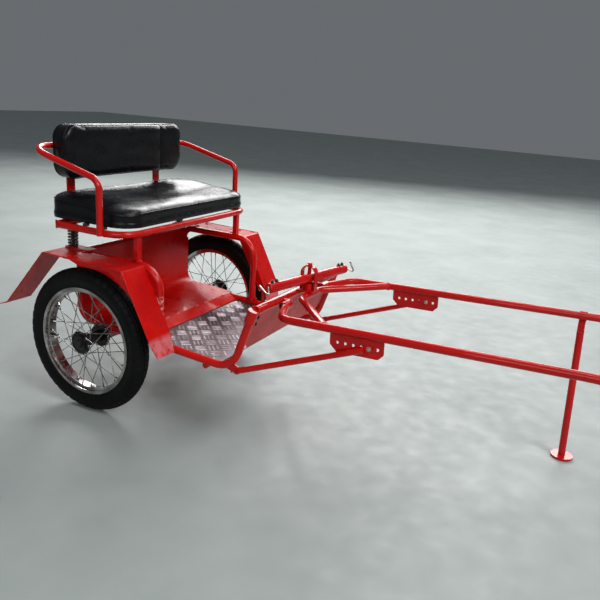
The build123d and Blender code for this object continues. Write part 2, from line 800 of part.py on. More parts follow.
bar_path = [(at(-bar_line), arm_rear_height + backrest_bar_over), (at(-bar_line), bar_foot),
            (at(seat_tube / 2 - spring_behind), bar_foot)]
backrest_halves = [folded_sheet(bar_path, backrest_bar_bend, backrest_bar_gauge,
                                y - backrest_bar_width / 2, y + backrest_bar_width / 2)
                   for y in (-backrest_bar_offset, backrest_bar_offset)]
with BuildPart() as backrest_bars:
    for half in backrest_halves:
        add(half.part)
save(backrest_bars, "backrest_bars")
arm_y = seat_half_width + seat_tube / 2 + arm_tube / 2 + weld_gap
arm_rear = at(-bar_front - backrest_bar_gauge - arm_tube / 2 - weld_gap)
arm_foot = seat_frame_height - arm_foot_drop
arm_path = [(at(arm_fore_ahead), -arm_y, arm_foot), (at(arm_fore_ahead), -arm_y, arm_bend_height),
            (arm_rear, -arm_y, arm_rear_height), (arm_rear, arm_y, arm_rear_height),
            (at(arm_fore_ahead), arm_y, arm_bend_height), (at(arm_fore_ahead), arm_y, arm_foot)]
arm_radii = (arm_fore_radius, arm_rear_radius, arm_rear_radius, arm_fore_radius)
save(bent_tube(arm_path, arm_radii, arm_tube), "arm_rail")

# Shafts, bolted by their rear eyes to plates on the dash top tube
for name, side in SIDES:
    y = side * shaft_half_gap
    eye = (at(shaft_eye_ahead), side * shaft_eye_offset, shaft_eye_height)
    points = [eye, (at(shaft_bend_ahead), y, shaft_bend_height), (at(shaft_fore_ahead), y, shaft_fore_height),
              (at(shaft_tip_ahead), y, shaft_tip_height)]
    tube = bent_tube(points, (shaft_bend_radius, shaft_fore_radius), shaft_tube)
    with BuildPart() as shaft:
        add(tube.part)
        fillet(shaft.faces().sort_by(Axis.X)[-1].edges(), radius=shaft_tip_round)
        with Locations(eye):
            Cylinder(shaft_eye_radius, shaft_eye_width, rotation=(90, 0, 0))
            Cylinder(shaft_eye_bore / 2, 2 * shaft_eye_width, rotation=(90, 0, 0), mode=Mode.SUBTRACT)
    save(shaft, "shaft_" + name)
eye_x = at(shaft_eye_ahead)
lug_low, lug_high = shaft_eye_height - shaft_eye_radius, shaft_eye_height + shaft_eye_radius
with BuildPart() as shaft_lugs:
    for side in (-1, 1):
        face = side * (shaft_eye_offset - shaft_eye_width / 2 - eye_side_gap)
        with BuildSketch(side_plane(face)):
            with BuildLine():
                Polyline((dash_top.X, lug_low), (eye_x, lug_low),
                         (eye_x, lug_high), (dash_top.X, lug_high), close=True)
            make_face()
            with Locations((eye_x, shaft_eye_height)):
                Circle(shaft_eye_radius)
            with Locations((dash_top.X, dash_top_height)):
                Circle(dash_tube_radius + weld_gap, mode=Mode.SUBTRACT)
        extrude(amount=side * eye_lug_gauge)
        bolt_start = face - side * eye_lug_gauge / 2
        with BuildSketch(Plane(origin=(eye_x, bolt_start, shaft_eye_height), z_dir=(0, side, 0))):
            Circle(eye_bolt / 2)
        extrude(amount=eye_lug_gauge / 2 + eye_side_gap + shaft_eye_width)
save(shaft_lugs, "shaft_lugs")

# Bent cross tube between the shafts, coped onto them
cross_end_height = shaft_height(shaft_cross_end_ahead)
cross_path = [(at(shaft_cross_end_ahead), -shaft_half_gap, cross_end_height),
              (at(shaft_cross_ahead), -shaft_cross_offset, shaft_cross_height),
              (at(shaft_cross_ahead), shaft_cross_offset, shaft_cross_height),
              (at(shaft_cross_end_ahead), shaft_half_gap, cross_end_height)]
cross_whole = bent_tube(cross_path, shaft_cross_radius, shaft_cross_tube)
with BuildPart() as shaft_cross:
    add(cross_whole.part)
    for side in (-1, 1):
        place = (at(shaft_cross_end_ahead), side * shaft_half_gap, cross_end_height)
        with Locations(Location(place, (0, 90 - shaft_slope_angle, 0))):
            Cylinder(shaft_tube / 2 + weld_gap, 6 * shaft_tube, mode=Mode.SUBTRACT)
save(shaft_cross, "shaft_cross_tube")

# Adjuster plates under the shafts: a row of holes sets how high the shafts ride
slope = radians(shaft_slope_angle)
adjuster_top = shaft_height(adjuster_rear_ahead) - shaft_tube / 2 / cos(slope) - weld_gap
brace_bolt_along = adjuster_first_hole + (brace_hole_number - 1) * adjuster_pitch
brace_bolt_x = at(adjuster_rear_ahead) + brace_bolt_along * cos(slope) + adjuster_hole_drop * sin(slope)
brace_bolt_z = adjuster_top + brace_bolt_along * sin(slope) - adjuster_hole_drop * cos(slope)
with BuildPart() as adjuster_plates:
    for side in (-1, 1):
        y = side * shaft_half_gap
        with BuildSketch(Plane(origin=(at(adjuster_rear_ahead), y, adjuster_top),
                               x_dir=(cos(slope), 0, sin(slope)), z_dir=(0, -1, 0))):
            with BuildLine():
                Polyline((0, 0), (adjuster_length, 0),
                         (adjuster_length, adjuster_corner_fore - adjuster_depth),
                         (adjuster_length - adjuster_corner_fore, -adjuster_depth),
                         (adjuster_corner_back, -adjuster_depth),
                         (0, adjuster_corner_back - adjuster_depth), close=True)
            make_face()
            for number in range(adjuster_holes):
                with Locations((adjuster_first_hole + number * adjuster_pitch, -adjuster_hole_drop)):
                    Circle(adjuster_hole / 2, mode=Mode.SUBTRACT)
        extrude(amount=adjuster_gauge / 2, both=True)
save(adjuster_plates, "adjuster_plates")

# Braces from a tab at the foot of the dash up to the adjuster plates
tab_x = at(rail_bend_ahead + brace_tab_reach)
tab_z = rail_height(rail_bend_ahead) + brace_tab_rise
tab_root_z = rail_height(rail_bend_ahead)
with BuildPart() as brace_tabs:
    for side in (-1, 1):
        with BuildSketch(side_plane(side * frame_half_width)):
            with Locations((tab_x, tab_z)):
                Circle(brace_tab_radius)
            with BuildLine():
                Polyline((at(rail_bend_ahead - brace_tab_root), tab_root_z),
                         (tab_x, tab_z - brace_tab_radius),
                         (tab_x, tab_z + brace_tab_radius),
                         (at(rail_bend_ahead - brace_tab_root / 2), tab_root_z + 2 * brace_tab_radius),
                         close=True)
            make_face()
            with Locations((tab_x, tab_z)):
                Circle(adjuster_hole / 2, mode=Mode.SUBTRACT)
        extrude(amount=brace_tab_gauge / 2, both=True)
    for socket in rail_sockets:
        add(socket.part, mode=Mode.SUBTRACT)
save(brace_tabs, "brace_tabs")
brace_offset = (brace_tube - brace_eye_width) / 2
for name, side in SIDES:
    rear_y = side * (frame_half_width + brace_tab_gauge / 2 + weld_gap + brace_eye_width / 2)
    fore_y = side * (shaft_half_gap + adjuster_gauge / 2 + weld_gap + brace_eye_width / 2)
    rear = Vector(tab_x, rear_y, tab_z)
    fore = Vector(brace_bolt_x, fore_y, brace_bolt_z)
    along = (fore - rear).normalized()
    shift = Vector(0, side * brace_offset, 0)
    with BuildPart() as brace:
        with BuildSketch(Plane(origin=rear + shift + along * brace_eye_run, z_dir=along)):
            Circle(brace_tube / 2)
        extrude(amount=(fore - rear).length - 2 * brace_eye_run)
        for centre, way in ((rear, 1), (fore, -1)):
            with BuildSketch(Plane(origin=centre, x_dir=Vector(along.X, 0, along.Z) * way, z_dir=(0, -1, 0))):
                Circle(brace_eye_radius)
                Rectangle(2 * brace_eye_run, 1.7 * brace_eye_radius, align=(Align.MIN, Align.CENTER))
            extrude(amount=brace_eye_width / 2, both=True)
            with Locations(centre):
                Cylinder(adjuster_hole / 2, 2 * brace_tube, rotation=(90, 0, 0), mode=Mode.SUBTRACT)
    save(brace, "brace_" + name)

# Singletree: a bracket from the dash tube over the cross tube, and the bar that swings in its strap
pivot_x = at(pivot_ahead)
bracket_front = at(shaft_cross_ahead) + shaft_cross_tube / 2 + bracket_fore_over
strap_inner = bar_diameter / 2 + strap_clearance
strap_outer = strap_inner + strap_gauge
strap_top = bar_height + bar_diameter / 2 + strap_top_gap
strap_spring = strap_top - strap_inner
with BuildPart() as singletree_bracket:
    box_between((dash_top.X, -bracket_width / 2, bracket_low), (bracket_front, bracket_width / 2, bracket_high))
    fillet(singletree_bracket.edges().filter_by(Axis.Z).sort_by(Axis.X)[-2:], radius=bracket_corner)
    with Locations((dash_top.X, 0, dash_top.Z)):
        Cylinder(dash_tube_radius + weld_gap, 2 * bracket_width, rotation=(90, 0, 0), mode=Mode.SUBTRACT)
    with Locations((pivot_x, 0, bracket_high)):
        Cylinder(pivot_boss_radius, pivot_boss_height, align=(Align.CENTER, Align.CENTER, Align.MIN))
        Cylinder(pivot_pin / 2, strap_top - bracket_high, align=(Align.CENTER, Align.CENTER, Align.MIN))
    with BuildSketch(side_plane(-strap_width / 2)):
        with BuildLine():
            Line((pivot_x - strap_outer, bracket_high), (pivot_x - strap_outer, strap_spring))
            ThreePointArc((pivot_x - strap_outer, strap_spring), (pivot_x, strap_top + strap_gauge),
                          (pivot_x + strap_outer, strap_spring))
            Polyline((pivot_x + strap_outer, strap_spring), (pivot_x + strap_outer, bracket_high),
                     (pivot_x + strap_inner, bracket_high), (pivot_x + strap_inner, strap_spring))
            ThreePointArc((pivot_x + strap_inner, strap_spring), (pivot_x, strap_top),
                          (pivot_x - strap_inner, strap_spring))
            Polyline((pivot_x - strap_inner, strap_spring), (pivot_x - strap_inner, bracket_high),
                     (pivot_x - strap_outer, bracket_high))
        make_face()
    extrude(amount=-strap_width)
save(singletree_bracket, "singletree_bracket")
bar_plane = Plane(origin=(pivot_x, 0, bar_height), x_dir=(0, 1, 0), z_dir=(0, 0, 1))
bar_plane = bar_plane.rotated((0, 0, bar_swing_at_rest))
along_bar = bar_plane.x_dir
with BuildPart() as singletree_bar:
    with BuildSketch(Plane(origin=bar_plane.origin - along_bar * bar_half_length, z_dir=along_bar)):
        Circle(bar_diameter / 2)
    extrude(amount=2 * bar_half_length)
    fillet(singletree_bar.edges().filter_by(GeomType.CIRCLE), radius=bar_end_round)
    with Locations((pivot_x, 0, bar_height)):
        Cylinder(bar_bore / 2, 2 * bar_diameter, mode=Mode.SUBTRACT)
save(singletree_bar, "singletree_bar")


def hook_points(side):
    """Root at the end of the bar, then the tip ahead of it, then the open end, as out, ahead and up."""
    start = bar_half_length + weld_gap
    tip_out, tip_ahead, tip_drop = hook_tip
    end_out, end_behind, end_rise = hook_return
    corners = [(start, 0, hook_root_rise), (start + tip_out, -tip_ahead, -tip_drop),
               (start + end_out, end_behind, end_rise)]
    return [tuple(bar_plane.from_local_coords((side * u, v, w))) for u, v, w in corners]


hooks = [bent_tube(hook_points(side), hook_bend, hook_wire) for name, side in SIDES]
with BuildPart() as trace_hooks:
    for hook in hooks:
        add(hook.part)
    bar_ends = Plane(origin=bar_plane.origin - along_bar * (bar_half_length + weld_gap), z_dir=along_bar)
    with BuildSketch(bar_ends):
        Circle(bar_diameter)
    extrude(amount=2 * (bar_half_length + weld_gap), mode=Mode.SUBTRACT)
save(trace_hooks, "trace_hooks")

# Prop leg: a clamp round the left shaft, and the leg that folds back on its pin, with a round foot.
# The leg leans in, so the clamp and the pin are turned about the shaft to match it.
leg_shaft_height = shaft_height(leg_ahead)
leg_lean = atan2(leg_foot_inset, leg_shaft_height)
leg_drop = Vector(0, -sin(leg_lean), -cos(leg_lean))
pin_way = Vector(0, cos(leg_lean), -sin(leg_lean))
clamp_centre = Vector(at(leg_ahead), shaft_half_gap, leg_shaft_height)
leg_pivot = clamp_centre + leg_drop * leg_pivot_drop
leg_foot = Vector(at(leg_foot_ahead), shaft_half_gap - leg_foot_inset, 0)
pin_plane = Plane(origin=leg_pivot, x_dir=(1, 0, 0), z_dir=pin_way)
with BuildPart() as leg_clamp:
    with Locations(Location(tuple(clamp_centre), (0, 90 - shaft_slope_angle, 0))):
        Cylinder(shaft_tube / 2 + clamp_gap + clamp_band, clamp_width)
    with BuildSketch(pin_plane):
        Circle(leg_ear_radius)
        with Locations((0, -leg_pivot_drop / 2)):
            Rectangle(2 * leg_ear_radius, leg_pivot_drop)
    extrude(amount=clamp_lug_gauge / 2, both=True)
    with Locations(Location(tuple(clamp_centre), (0, 90 - shaft_slope_angle, 0))):
        Cylinder(shaft_tube / 2 + clamp_gap, 2 * clamp_width, mode=Mode.SUBTRACT)
    with BuildSketch(pin_plane):
        Circle(leg_pin_diameter / 2 + leg_pin_gap)
    extrude(amount=clamp_width, both=True, mode=Mode.SUBTRACT)
save(leg_clamp, "leg_clamp")
leg_along = (leg_foot - leg_pivot).normalized()
ear_inner = clamp_lug_gauge / 2 + leg_ear_gap
ear_outer = ear_inner + leg_ear_gauge
ear_plane = Plane(origin=leg_pivot, x_dir=leg_along, z_dir=pin_way)
with BuildPart() as prop_leg:
    with BuildSketch(Plane(origin=leg_pivot + leg_along * leg_ear_drop, z_dir=leg_along)):
        Circle(leg_tube / 2)
    extrude(amount=(leg_foot - leg_pivot).length - leg_ear_drop - leg_foot_height / 2)
    for cheek in (-1, 1):
        with BuildSketch(ear_plane.offset(cheek * ear_inner)):
            Circle(leg_ear_radius)
            Rectangle(leg_ear_drop + leg_ear_block, 2 * leg_ear_radius, align=(Align.MIN, Align.CENTER))
        extrude(amount=cheek * leg_ear_gauge)
    with BuildSketch(Plane(origin=leg_pivot + leg_along * leg_ear_drop, x_dir=pin_way, z_dir=leg_along)):
        Rectangle(2 * ear_outer, 2 * leg_ear_radius)
    extrude(amount=leg_ear_block)
    with BuildSketch(ear_plane):
        Circle(leg_pin_diameter / 2)
    extrude(amount=ear_outer + leg_pin_over, both=True)
    with BuildSketch(Plane(origin=leg_foot)):
        Circle(leg_foot_radius)
    extrude(amount=leg_foot_height)
save(prop_leg, "prop_leg")
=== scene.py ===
import bmesh
import bpy
import math
from mathutils import Matrix, Vector, noise
from mathutils.bvhtree import BVHTree


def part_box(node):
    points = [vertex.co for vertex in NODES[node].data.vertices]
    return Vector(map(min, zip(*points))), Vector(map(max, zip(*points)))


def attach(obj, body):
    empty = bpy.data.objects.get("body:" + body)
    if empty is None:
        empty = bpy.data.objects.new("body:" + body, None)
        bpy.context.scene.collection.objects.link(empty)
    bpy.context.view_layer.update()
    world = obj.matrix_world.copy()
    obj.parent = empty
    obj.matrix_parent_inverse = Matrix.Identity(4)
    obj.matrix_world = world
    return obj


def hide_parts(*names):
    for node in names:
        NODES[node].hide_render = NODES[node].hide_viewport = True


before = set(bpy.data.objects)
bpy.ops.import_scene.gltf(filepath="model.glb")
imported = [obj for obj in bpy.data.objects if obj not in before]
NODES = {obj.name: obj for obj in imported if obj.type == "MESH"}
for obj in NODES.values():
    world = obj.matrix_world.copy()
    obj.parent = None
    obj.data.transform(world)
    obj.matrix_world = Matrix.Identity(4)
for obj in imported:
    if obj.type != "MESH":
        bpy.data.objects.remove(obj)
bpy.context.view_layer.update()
tyre_low, tyre_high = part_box("tyre_right")
AXLE_X = (tyre_low.x + tyre_high.x) / 2
WHEEL_R = (tyre_high.z - tyre_low.z) / 2
TRACK_HALF = -(tyre_low.y + tyre_high.y) / 2
SIDES = (("right", -1), ("left", 1))
TAU = 2 * math.pi

# The frame's driving sizes: places for at() in millimetres, radii in metres, angles in radians
FRAME_SIDE = 338
HOOP_FORE_AHEAD = 270
POST_AHEAD = 165
SPRING_AHEAD = -158
SEAT_SIDE, SEAT_FRAME_Z = 420, 714
SHAFT_SIDE, SHAFT_EYE_AHEAD, SHAFT_EYE_Z = 314, 709, 504
FRAME_TUBE_R = 0.01425
DASH_LEAN = math.radians(18.0)
RAIL_SLOPE = math.radians(3.5)
SHAFT_SLOPE = math.atan(43.0 / 1020.0)


def at(ahead, y, z):
    """A point given in millimetres ahead of the axle, to the left, and above the ground."""
    return Vector((AXLE_X + ahead / 1000, y / 1000, z / 1000))


def on_side(place, side):
    """A place of the left side, or its mirror image on the right."""
    ahead, y, z = place
    return at(ahead, side * y, z)


def held(value, low, high):
    return min(max(value, low), high)


def smooth_step(value, low, high):
    t = held((value - low) / (high - low), 0.0, 1.0)
    return t * t * (3 - 2 * t)


# Camera, fitted to the photograph
CAMERA_ANGLES = (25.956, 17.313, 4.096)
CAMERA_PLACE = (AXLE_X + 1.7509, -2.1906, 1.2388)
LENS_MM, SENSOR_MM = 39.2, 36.0
CLIP_NEAR, CLIP_FAR = 0.05, 60.0


def add_camera():
    yaw, pitch, roll = (math.radians(angle) for angle in CAMERA_ANGLES)
    back = Vector((math.sin(yaw) * math.cos(pitch), -math.cos(yaw) * math.cos(pitch), math.sin(pitch)))
    right = (-back).cross(Vector((0, 0, 1))).normalized()
    down = (-back).cross(right)
    image_right = right * math.cos(roll) - down * math.sin(roll)
    image_down = right * math.sin(roll) + down * math.cos(roll)
    axes = Matrix((image_right, -image_down, back)).transposed().to_4x4()
    camera = bpy.data.objects.new("photo_camera", bpy.data.cameras.new("photo_camera"))
    camera.data.sensor_width = SENSOR_MM
    camera.data.lens = LENS_MM
    camera.data.clip_start = CLIP_NEAR
    camera.data.clip_end = CLIP_FAR
    camera.matrix_world = Matrix.Translation(CAMERA_PLACE) @ axes
    bpy.context.scene.collection.objects.link(camera)
    bpy.context.scene.camera = camera


add_camera()


# Materials
class Finish:
    """A Principled material whose colour, roughness and bump come from procedural textures."""

    def __init__(self, name, **settings):
        self.material = bpy.data.materials.new(name)
        self.material.use_nodes = True
        self.tree = self.material.node_tree
        self.shader = self.tree.nodes["Principled BSDF"]
        self.coords = self.add("TexCoord").outputs["Object"]
        self.bumped = None
        for socket, value in settings.items():
            self.shader.inputs[socket.replace("_", " ")].default_value = value

    def add(self, kind, **inputs):
        node = self.tree.nodes.new("ShaderNode" + kind)
        for socket, value in inputs.items():
            node.inputs[socket].default_value = value
        return node

    def link(self, a, b):
        self.tree.links.new(a, b)

    def noise(self, scale, detail=3.0, roughness=0.55, stretch=(1, 1, 1)):
        node = self.add("TexNoise", Scale=scale, Detail=detail, Roughness=roughness)
        mapping = self.add("Mapping", Scale=stretch)
        self.link(self.coords, mapping.inputs["Vector"])
        self.link(mapping.outputs["Vector"], node.inputs["Vector"])
        return node.outputs["Fac"]

    def cells(self, scale):
        """The distance to the edge of the nearest Voronoi cell."""
        node = self.add("TexVoronoi", Scale=scale)
        node.feature = "DISTANCE_TO_EDGE"
        self.link(self.coords, node.inputs["Vector"])
        return node.outputs["Distance"]

    def ramp(self, value, stops):
        node = self.add("ValToRGB")
        elements = node.color_ramp.elements
        while len(elements) < len(stops):
            elements.new(0.5)
        for element, (place, colour) in zip(elements, stops):
            element.position = place
            element.color = (*colour, 1)
        self.link(value, node.inputs["Fac"])
        return node.outputs["Color"]

    def mix(self, factor, under, over):
        """One colour, a socket, with another, a tuple, laid over it by a factor."""
        node = self.add("Mix")
        node.data_type = "RGBA"
        self.link(factor, node.inputs["Factor"])
        self.link(under, node.inputs[6])
        node.inputs[7].default_value = (*over, 1)
        return node.outputs[2]

    def span(self, value, low, high, out_low=0.0, out_high=1.0):
        """A value mapped from one range to another, and held at its ends."""
        node = self.add("MapRange")
        for place, number in enumerate((low, high, out_low, out_high), 1):
            node.inputs[place].default_value = number
        self.link(value, node.inputs[0])
        return node.outputs[0]

    def math(self, kind, a, b=None):
        node = self.add("Math")
        node.operation = kind
        self.link(a, node.inputs[0])
        if isinstance(b, float):
            node.inputs[1].default_value = b
        elif b is not None:
            self.link(b, node.inputs[1])
        return node.outputs[0]

    def product(self, value, *others):
        for other in others:
            value = self.math("MULTIPLY", value, other)
        return value

    def axis(self, letter):
        node = self.add("SeparateXYZ")
        self.link(self.coords, node.inputs[0])
        return node.outputs[letter]

    def colour(self, value):
        self.link(value, self.shader.inputs["Base Color"])

    def overlay(self, mask, colour):
        """Lays a second colour over the present one where the mask is 1."""
        present = self.shader.inputs["Base Color"].links[0].from_socket
        self.colour(self.mix(mask, present, colour))

    def roughness(self, value, low, high):
        self.link(self.span(value, 0.3, 0.7, low, high), self.shader.inputs["Roughness"])

    def bump(self, value, strength, distance):
        node = self.add("Bump", Strength=strength, Distance=distance)
        self.link(value, node.inputs["Height"])
        if self.bumped is not None:
            self.link(self.bumped, node.inputs["Normal"])
        self.bumped = node.outputs["Normal"]
        self.link(self.bumped, self.shader.inputs["Normal"])


def mottled(name, patches, tones, polish, low, high, **settings):
    """A finish in a few tones. patches and polish are the arguments of the noises for its colour
    and its roughness, tones are (place, colour) stops, and low and high bound the roughness."""
    finish = Finish(name, **settings)
    finish.colour(finish.ramp(finish.noise(*patches), tones))
    finish.roughness(finish.noise(*polish), low, high)
    return finish


# Red enamel, a little uneven and dusty, glossier on tube than on sheet
RED_DEEP, RED_FULL = (0.45, 0.0018, 0.0018), (0.60, 0.0058, 0.0024)
RED_DUST = (0.30, 0.05, 0.045)
TUBE_GLOSS, SHEET_GLOSS = 0.4, 0.12


def red_paint(name, gloss=TUBE_GLOSS):
    finish = Finish(name, Coat_Weight=gloss, Coat_Roughness=0.04, Specular_IOR_Level=0.14)
    reds = finish.ramp(finish.noise(5.0, 2.0), ((0.3, RED_DEEP), (0.7, RED_FULL)))
    dust = finish.span(finish.noise(38.0, 6.0, 0.7), 0.62, 0.82, 0.0, 0.16)
    finish.colour(finish.mix(dust, reds, RED_DUST))
    finish.roughness(finish.noise(21.0, 4.0), 0.22, 0.40)
    finish.bump(finish.noise(160.0, 2.0), 0.05, 0.001)
    finish.bump(finish.noise(9.0, 2.0), 0.10, 0.004)
    return finish


# The fenders' fore flaps get a painted highlight, in pale pink patches, low down
FLAP_HIGHLIGHT_TOP_Z, FLAP_HIGHLIGHT_FULL_Z = 0.372, 0.352
FLAP_HIGHLIGHT_REAR_X, FLAP_HIGHLIGHT_FORE_X = AXLE_X + 0.25, AXLE_X + 0.27
FLAP_HIGHLIGHT_STRENGTH = 0.75
FLAP_HIGHLIGHT_PINK = (0.66, 0.20, 0.22)


def flap_highlight_paint(name):
    finish = red_paint(name, SHEET_GLOSS)
    height = finish.span(finish.axis("Z"), FLAP_HIGHLIGHT_TOP_Z, FLAP_HIGHLIGHT_FULL_Z)
    ahead = finish.span(finish.axis("X"), FLAP_HIGHLIGHT_REAR_X, FLAP_HIGHLIGHT_FORE_X)
    highlight_patches = finish.span(finish.noise(24.0, 5.0, 0.65), 0.34, 0.56)
    # pale pink patches on the lower fore flap: a painted highlight where its bends catch the light
    finish.overlay(finish.product(height, ahead, highlight_patches, FLAP_HIGHLIGHT_STRENGTH), FLAP_HIGHLIGHT_PINK)
    return finish


# The axle is black outside the side frames
AXLE_RED_HALF = 0.3535
AXLE_BLACK = (0.012, 0.012, 0.013)


def black_ended_paint(name):
    finish = red_paint(name)
    past_frame = finish.math("GREATER_THAN", finish.math("ABSOLUTE", finish.axis("Y")), AXLE_RED_HALF)
    finish.overlay(past_frame, AXLE_BLACK)
    return finish


# The right hoop's fore leg gets painted glints: pale pink spots of painted highlight
LEG_GLINT_X = AXLE_X + 0.262
LEG_GLINT_LOW = (0.415, 0.430)
LEG_GLINT_HIGH = (0.500, 0.485)
LEG_GLINT_PINK = (0.80, 0.42, 0.38)


def glinting_hoop_paint(name):
    finish = red_paint(name)
    fore = finish.math("GREATER_THAN", finish.axis("X"), LEG_GLINT_X)
    right = finish.math("LESS_THAN", finish.axis("Y"), 0.0)
    under_top = finish.span(finish.axis("Z"), *LEG_GLINT_HIGH)
    over_foot = finish.span(finish.axis("Z"), *LEG_GLINT_LOW)
    glint_spots = finish.span(finish.noise(95.0, 3.0, 0.6), 0.50, 0.58)
    # pale pink spots on the right hoop's fore leg: painted highlights
    finish.overlay(finish.product(glint_spots, fore, right, under_top, over_foot), LEG_GLINT_PINK)
    return finish


red = red_paint("red_gloss_paint")
sheet_paint = red_paint("red_sheet_paint", SHEET_GLOSS)
fender_paint = flap_highlight_paint("red_fender_paint")
axle_paint = black_ended_paint("red_axle_paint")
hoop_paint = glinting_hoop_paint("red_hoop_paint")

# Pale pink on the floor fold's welds: a painted highlight, glints of light on the beads
weld_highlight = mottled("weld_highlight_paint", (60.0, 4.0), ((0.35, (0.50, 0.03, 0.02)), (0.65, (0.80, 0.34, 0.28))),
                    (80.0, 3.0), 0.2, 0.4, Coat_Weight=0.6, Coat_Roughness=0.05)

rubber = mottled("tyre_rubber", (14.0, 5.0),
                 ((0.3, (0.0022, 0.0022, 0.0026)), (0.75, (0.0070, 0.0066, 0.0064))),
                 (60.0, 4.0), 0.42, 0.66, Specular_IOR_Level=0.12)
rubber.bump(rubber.noise(900.0, 3.0), 0.25, 0.0006)

chrome = mottled("rim_chrome", (11.0, 6.0, 0.62),
                 ((0.28, (0.13, 0.105, 0.098)), (0.48, (0.34, 0.31, 0.30)), (0.7, (0.62, 0.61, 0.60))),
                 (30.0, 5.0), 0.10, 0.34, Metallic=1.0)
chrome.bump(chrome.noise(420.0, 2.0), 0.06, 0.0006)

steel = mottled("spoke_steel", (35.0, 4.0), ((0.3, (0.16, 0.15, 0.145)), (0.7, (0.58, 0.57, 0.56))),
                (70.0, 3.0), 0.12, 0.28, Metallic=1.0)
zinc = mottled("zinc_plate", (90.0, 4.0), ((0.3, (0.38, 0.36, 0.30)), (0.7, (0.66, 0.65, 0.60))),
               (120.0, 3.0), 0.24, 0.46, Metallic=1.0)
dark_steel = mottled("dark_steel", (60.0, 4.0), ((0.3, (0.02, 0.018, 0.018)), (0.75, (0.075, 0.07, 0.068))),
                     (80.0, 4.0), 0.30, 0.55, Metallic=0.8)

hub_black = mottled("hub_black", (45.0, 5.0), ((0.35, (0.003, 0.003, 0.003)), (0.8, (0.022, 0.019, 0.016))),
                    (60.0, 4.0), 0.28, 0.6, Coat_Weight=0.25, Coat_Roughness=0.12, Specular_IOR_Level=0.2)
hub_black.bump(hub_black.noise(240.0, 3.0), 0.12, 0.0008)
spring_black = mottled("spring_black", (80.0, 4.0),
                       ((0.3, (0.005, 0.005, 0.005)), (0.8, (0.022, 0.02, 0.02))),
                       (90.0, 3.0), 0.25, 0.5, Coat_Weight=0.4, Coat_Roughness=0.15)

# The tread plate's mauve tint is a painted reflection of the red frame around it
plate = mottled("tread_plate_metal", (8.0, 6.0, 0.6),
                ((0.3, (0.075, 0.052, 0.058)), (0.7, (0.19, 0.15, 0.16))),
                (55.0, 5.0, 0.6, (1, 6, 1)), 0.30, 0.50, Metallic=0.85)
# The bars are a lighter copy of the plate's metal: a painted highlight on their raised tops
highlit_bars = mottled("tread_bar_metal", (40.0, 5.0, 0.6),
                    ((0.3, (0.20, 0.155, 0.165)), (0.7, (0.46, 0.40, 0.42))),
                    (70.0, 4.0), 0.28, 0.48, Metallic=0.9)

plywood = mottled("painted_plywood", (30.0, 5.0, 0.6, (1, 1, 24)),
                  ((0.3, (0.008, 0.007, 0.006)), (0.75, (0.045, 0.032, 0.024))), (40.0, 3.0), 0.55, 0.8)
plywood.bump(plywood.noise(120.0, 4.0, 0.6, (1, 8, 1)), 0.2, 0.0008)

vinyl = mottled("black_vinyl", (7.0, 3.0),
                ((0.3, (0.0020, 0.0019, 0.0026)), (0.75, (0.0045, 0.0042, 0.0054))),
                (18.0, 4.0), 0.23, 0.33, Specular_IOR_Level=0.26)
grain_depth = vinyl.span(vinyl.noise(300.0), 0.2, 0.8, 0.6, 1.0)
vinyl.bump(vinyl.product(vinyl.cells(620.0), grain_depth), 0.22, 0.0007)
vinyl.bump(vinyl.noise(16.0, 3.0), 0.10, 0.004)

# The look of each node, by its name without its side. The rest is red
LOOKS = {
    "tyre": rubber, "rim": chrome, "spokes": steel, "hub": hub_black,
    "axle_beam": axle_paint, "side_hoop": hoop_paint, "fender": fender_paint,
    "floor_sheet": sheet_paint, "dash_panel": sheet_paint, "tread_plate": plate,
    "seat_springs": spring_black, "seat_board": plywood, "seat_cushion": vinyl,
    "backrest_pad": vinyl, "trace_hooks": zinc,
}
for name, node in NODES.items():
    stem = name.removesuffix("_left").removesuffix("_right")
    node.data.materials.clear()
    node.data.materials.append(LOOKS.get(stem, red).material)


# Mesh building
def frame_of(axis):
    """A unit axis and two unit directions square to it."""
    axis = Vector(axis).normalized()
    across = axis.orthogonal().normalized()
    return axis, across, axis.cross(across)


def circle(centre, across, up, radius, count, first=0.0):
    """Points round a circle in the plane of two unit directions."""
    turns = [first + TAU * k / count for k in range(count)]
    return [centre + (across * math.cos(turn) + up * math.sin(turn)) * radius for turn in turns]


# A weld bead's radius ripples along its line, and is a little uneven
RIPPLE, RIPPLE_STEP = 0.22, 2.1
UNEVEN, UNEVEN_SCALE = 0.12, 90
# A short weld is laid in steps of this length, and its ends taper to a share of its radius
STITCH_STEP, STITCH_END = 0.0018, 0.35
STITCH_RIPPLE, STITCH_RIPPLE_STEP = 0.2, 2.4


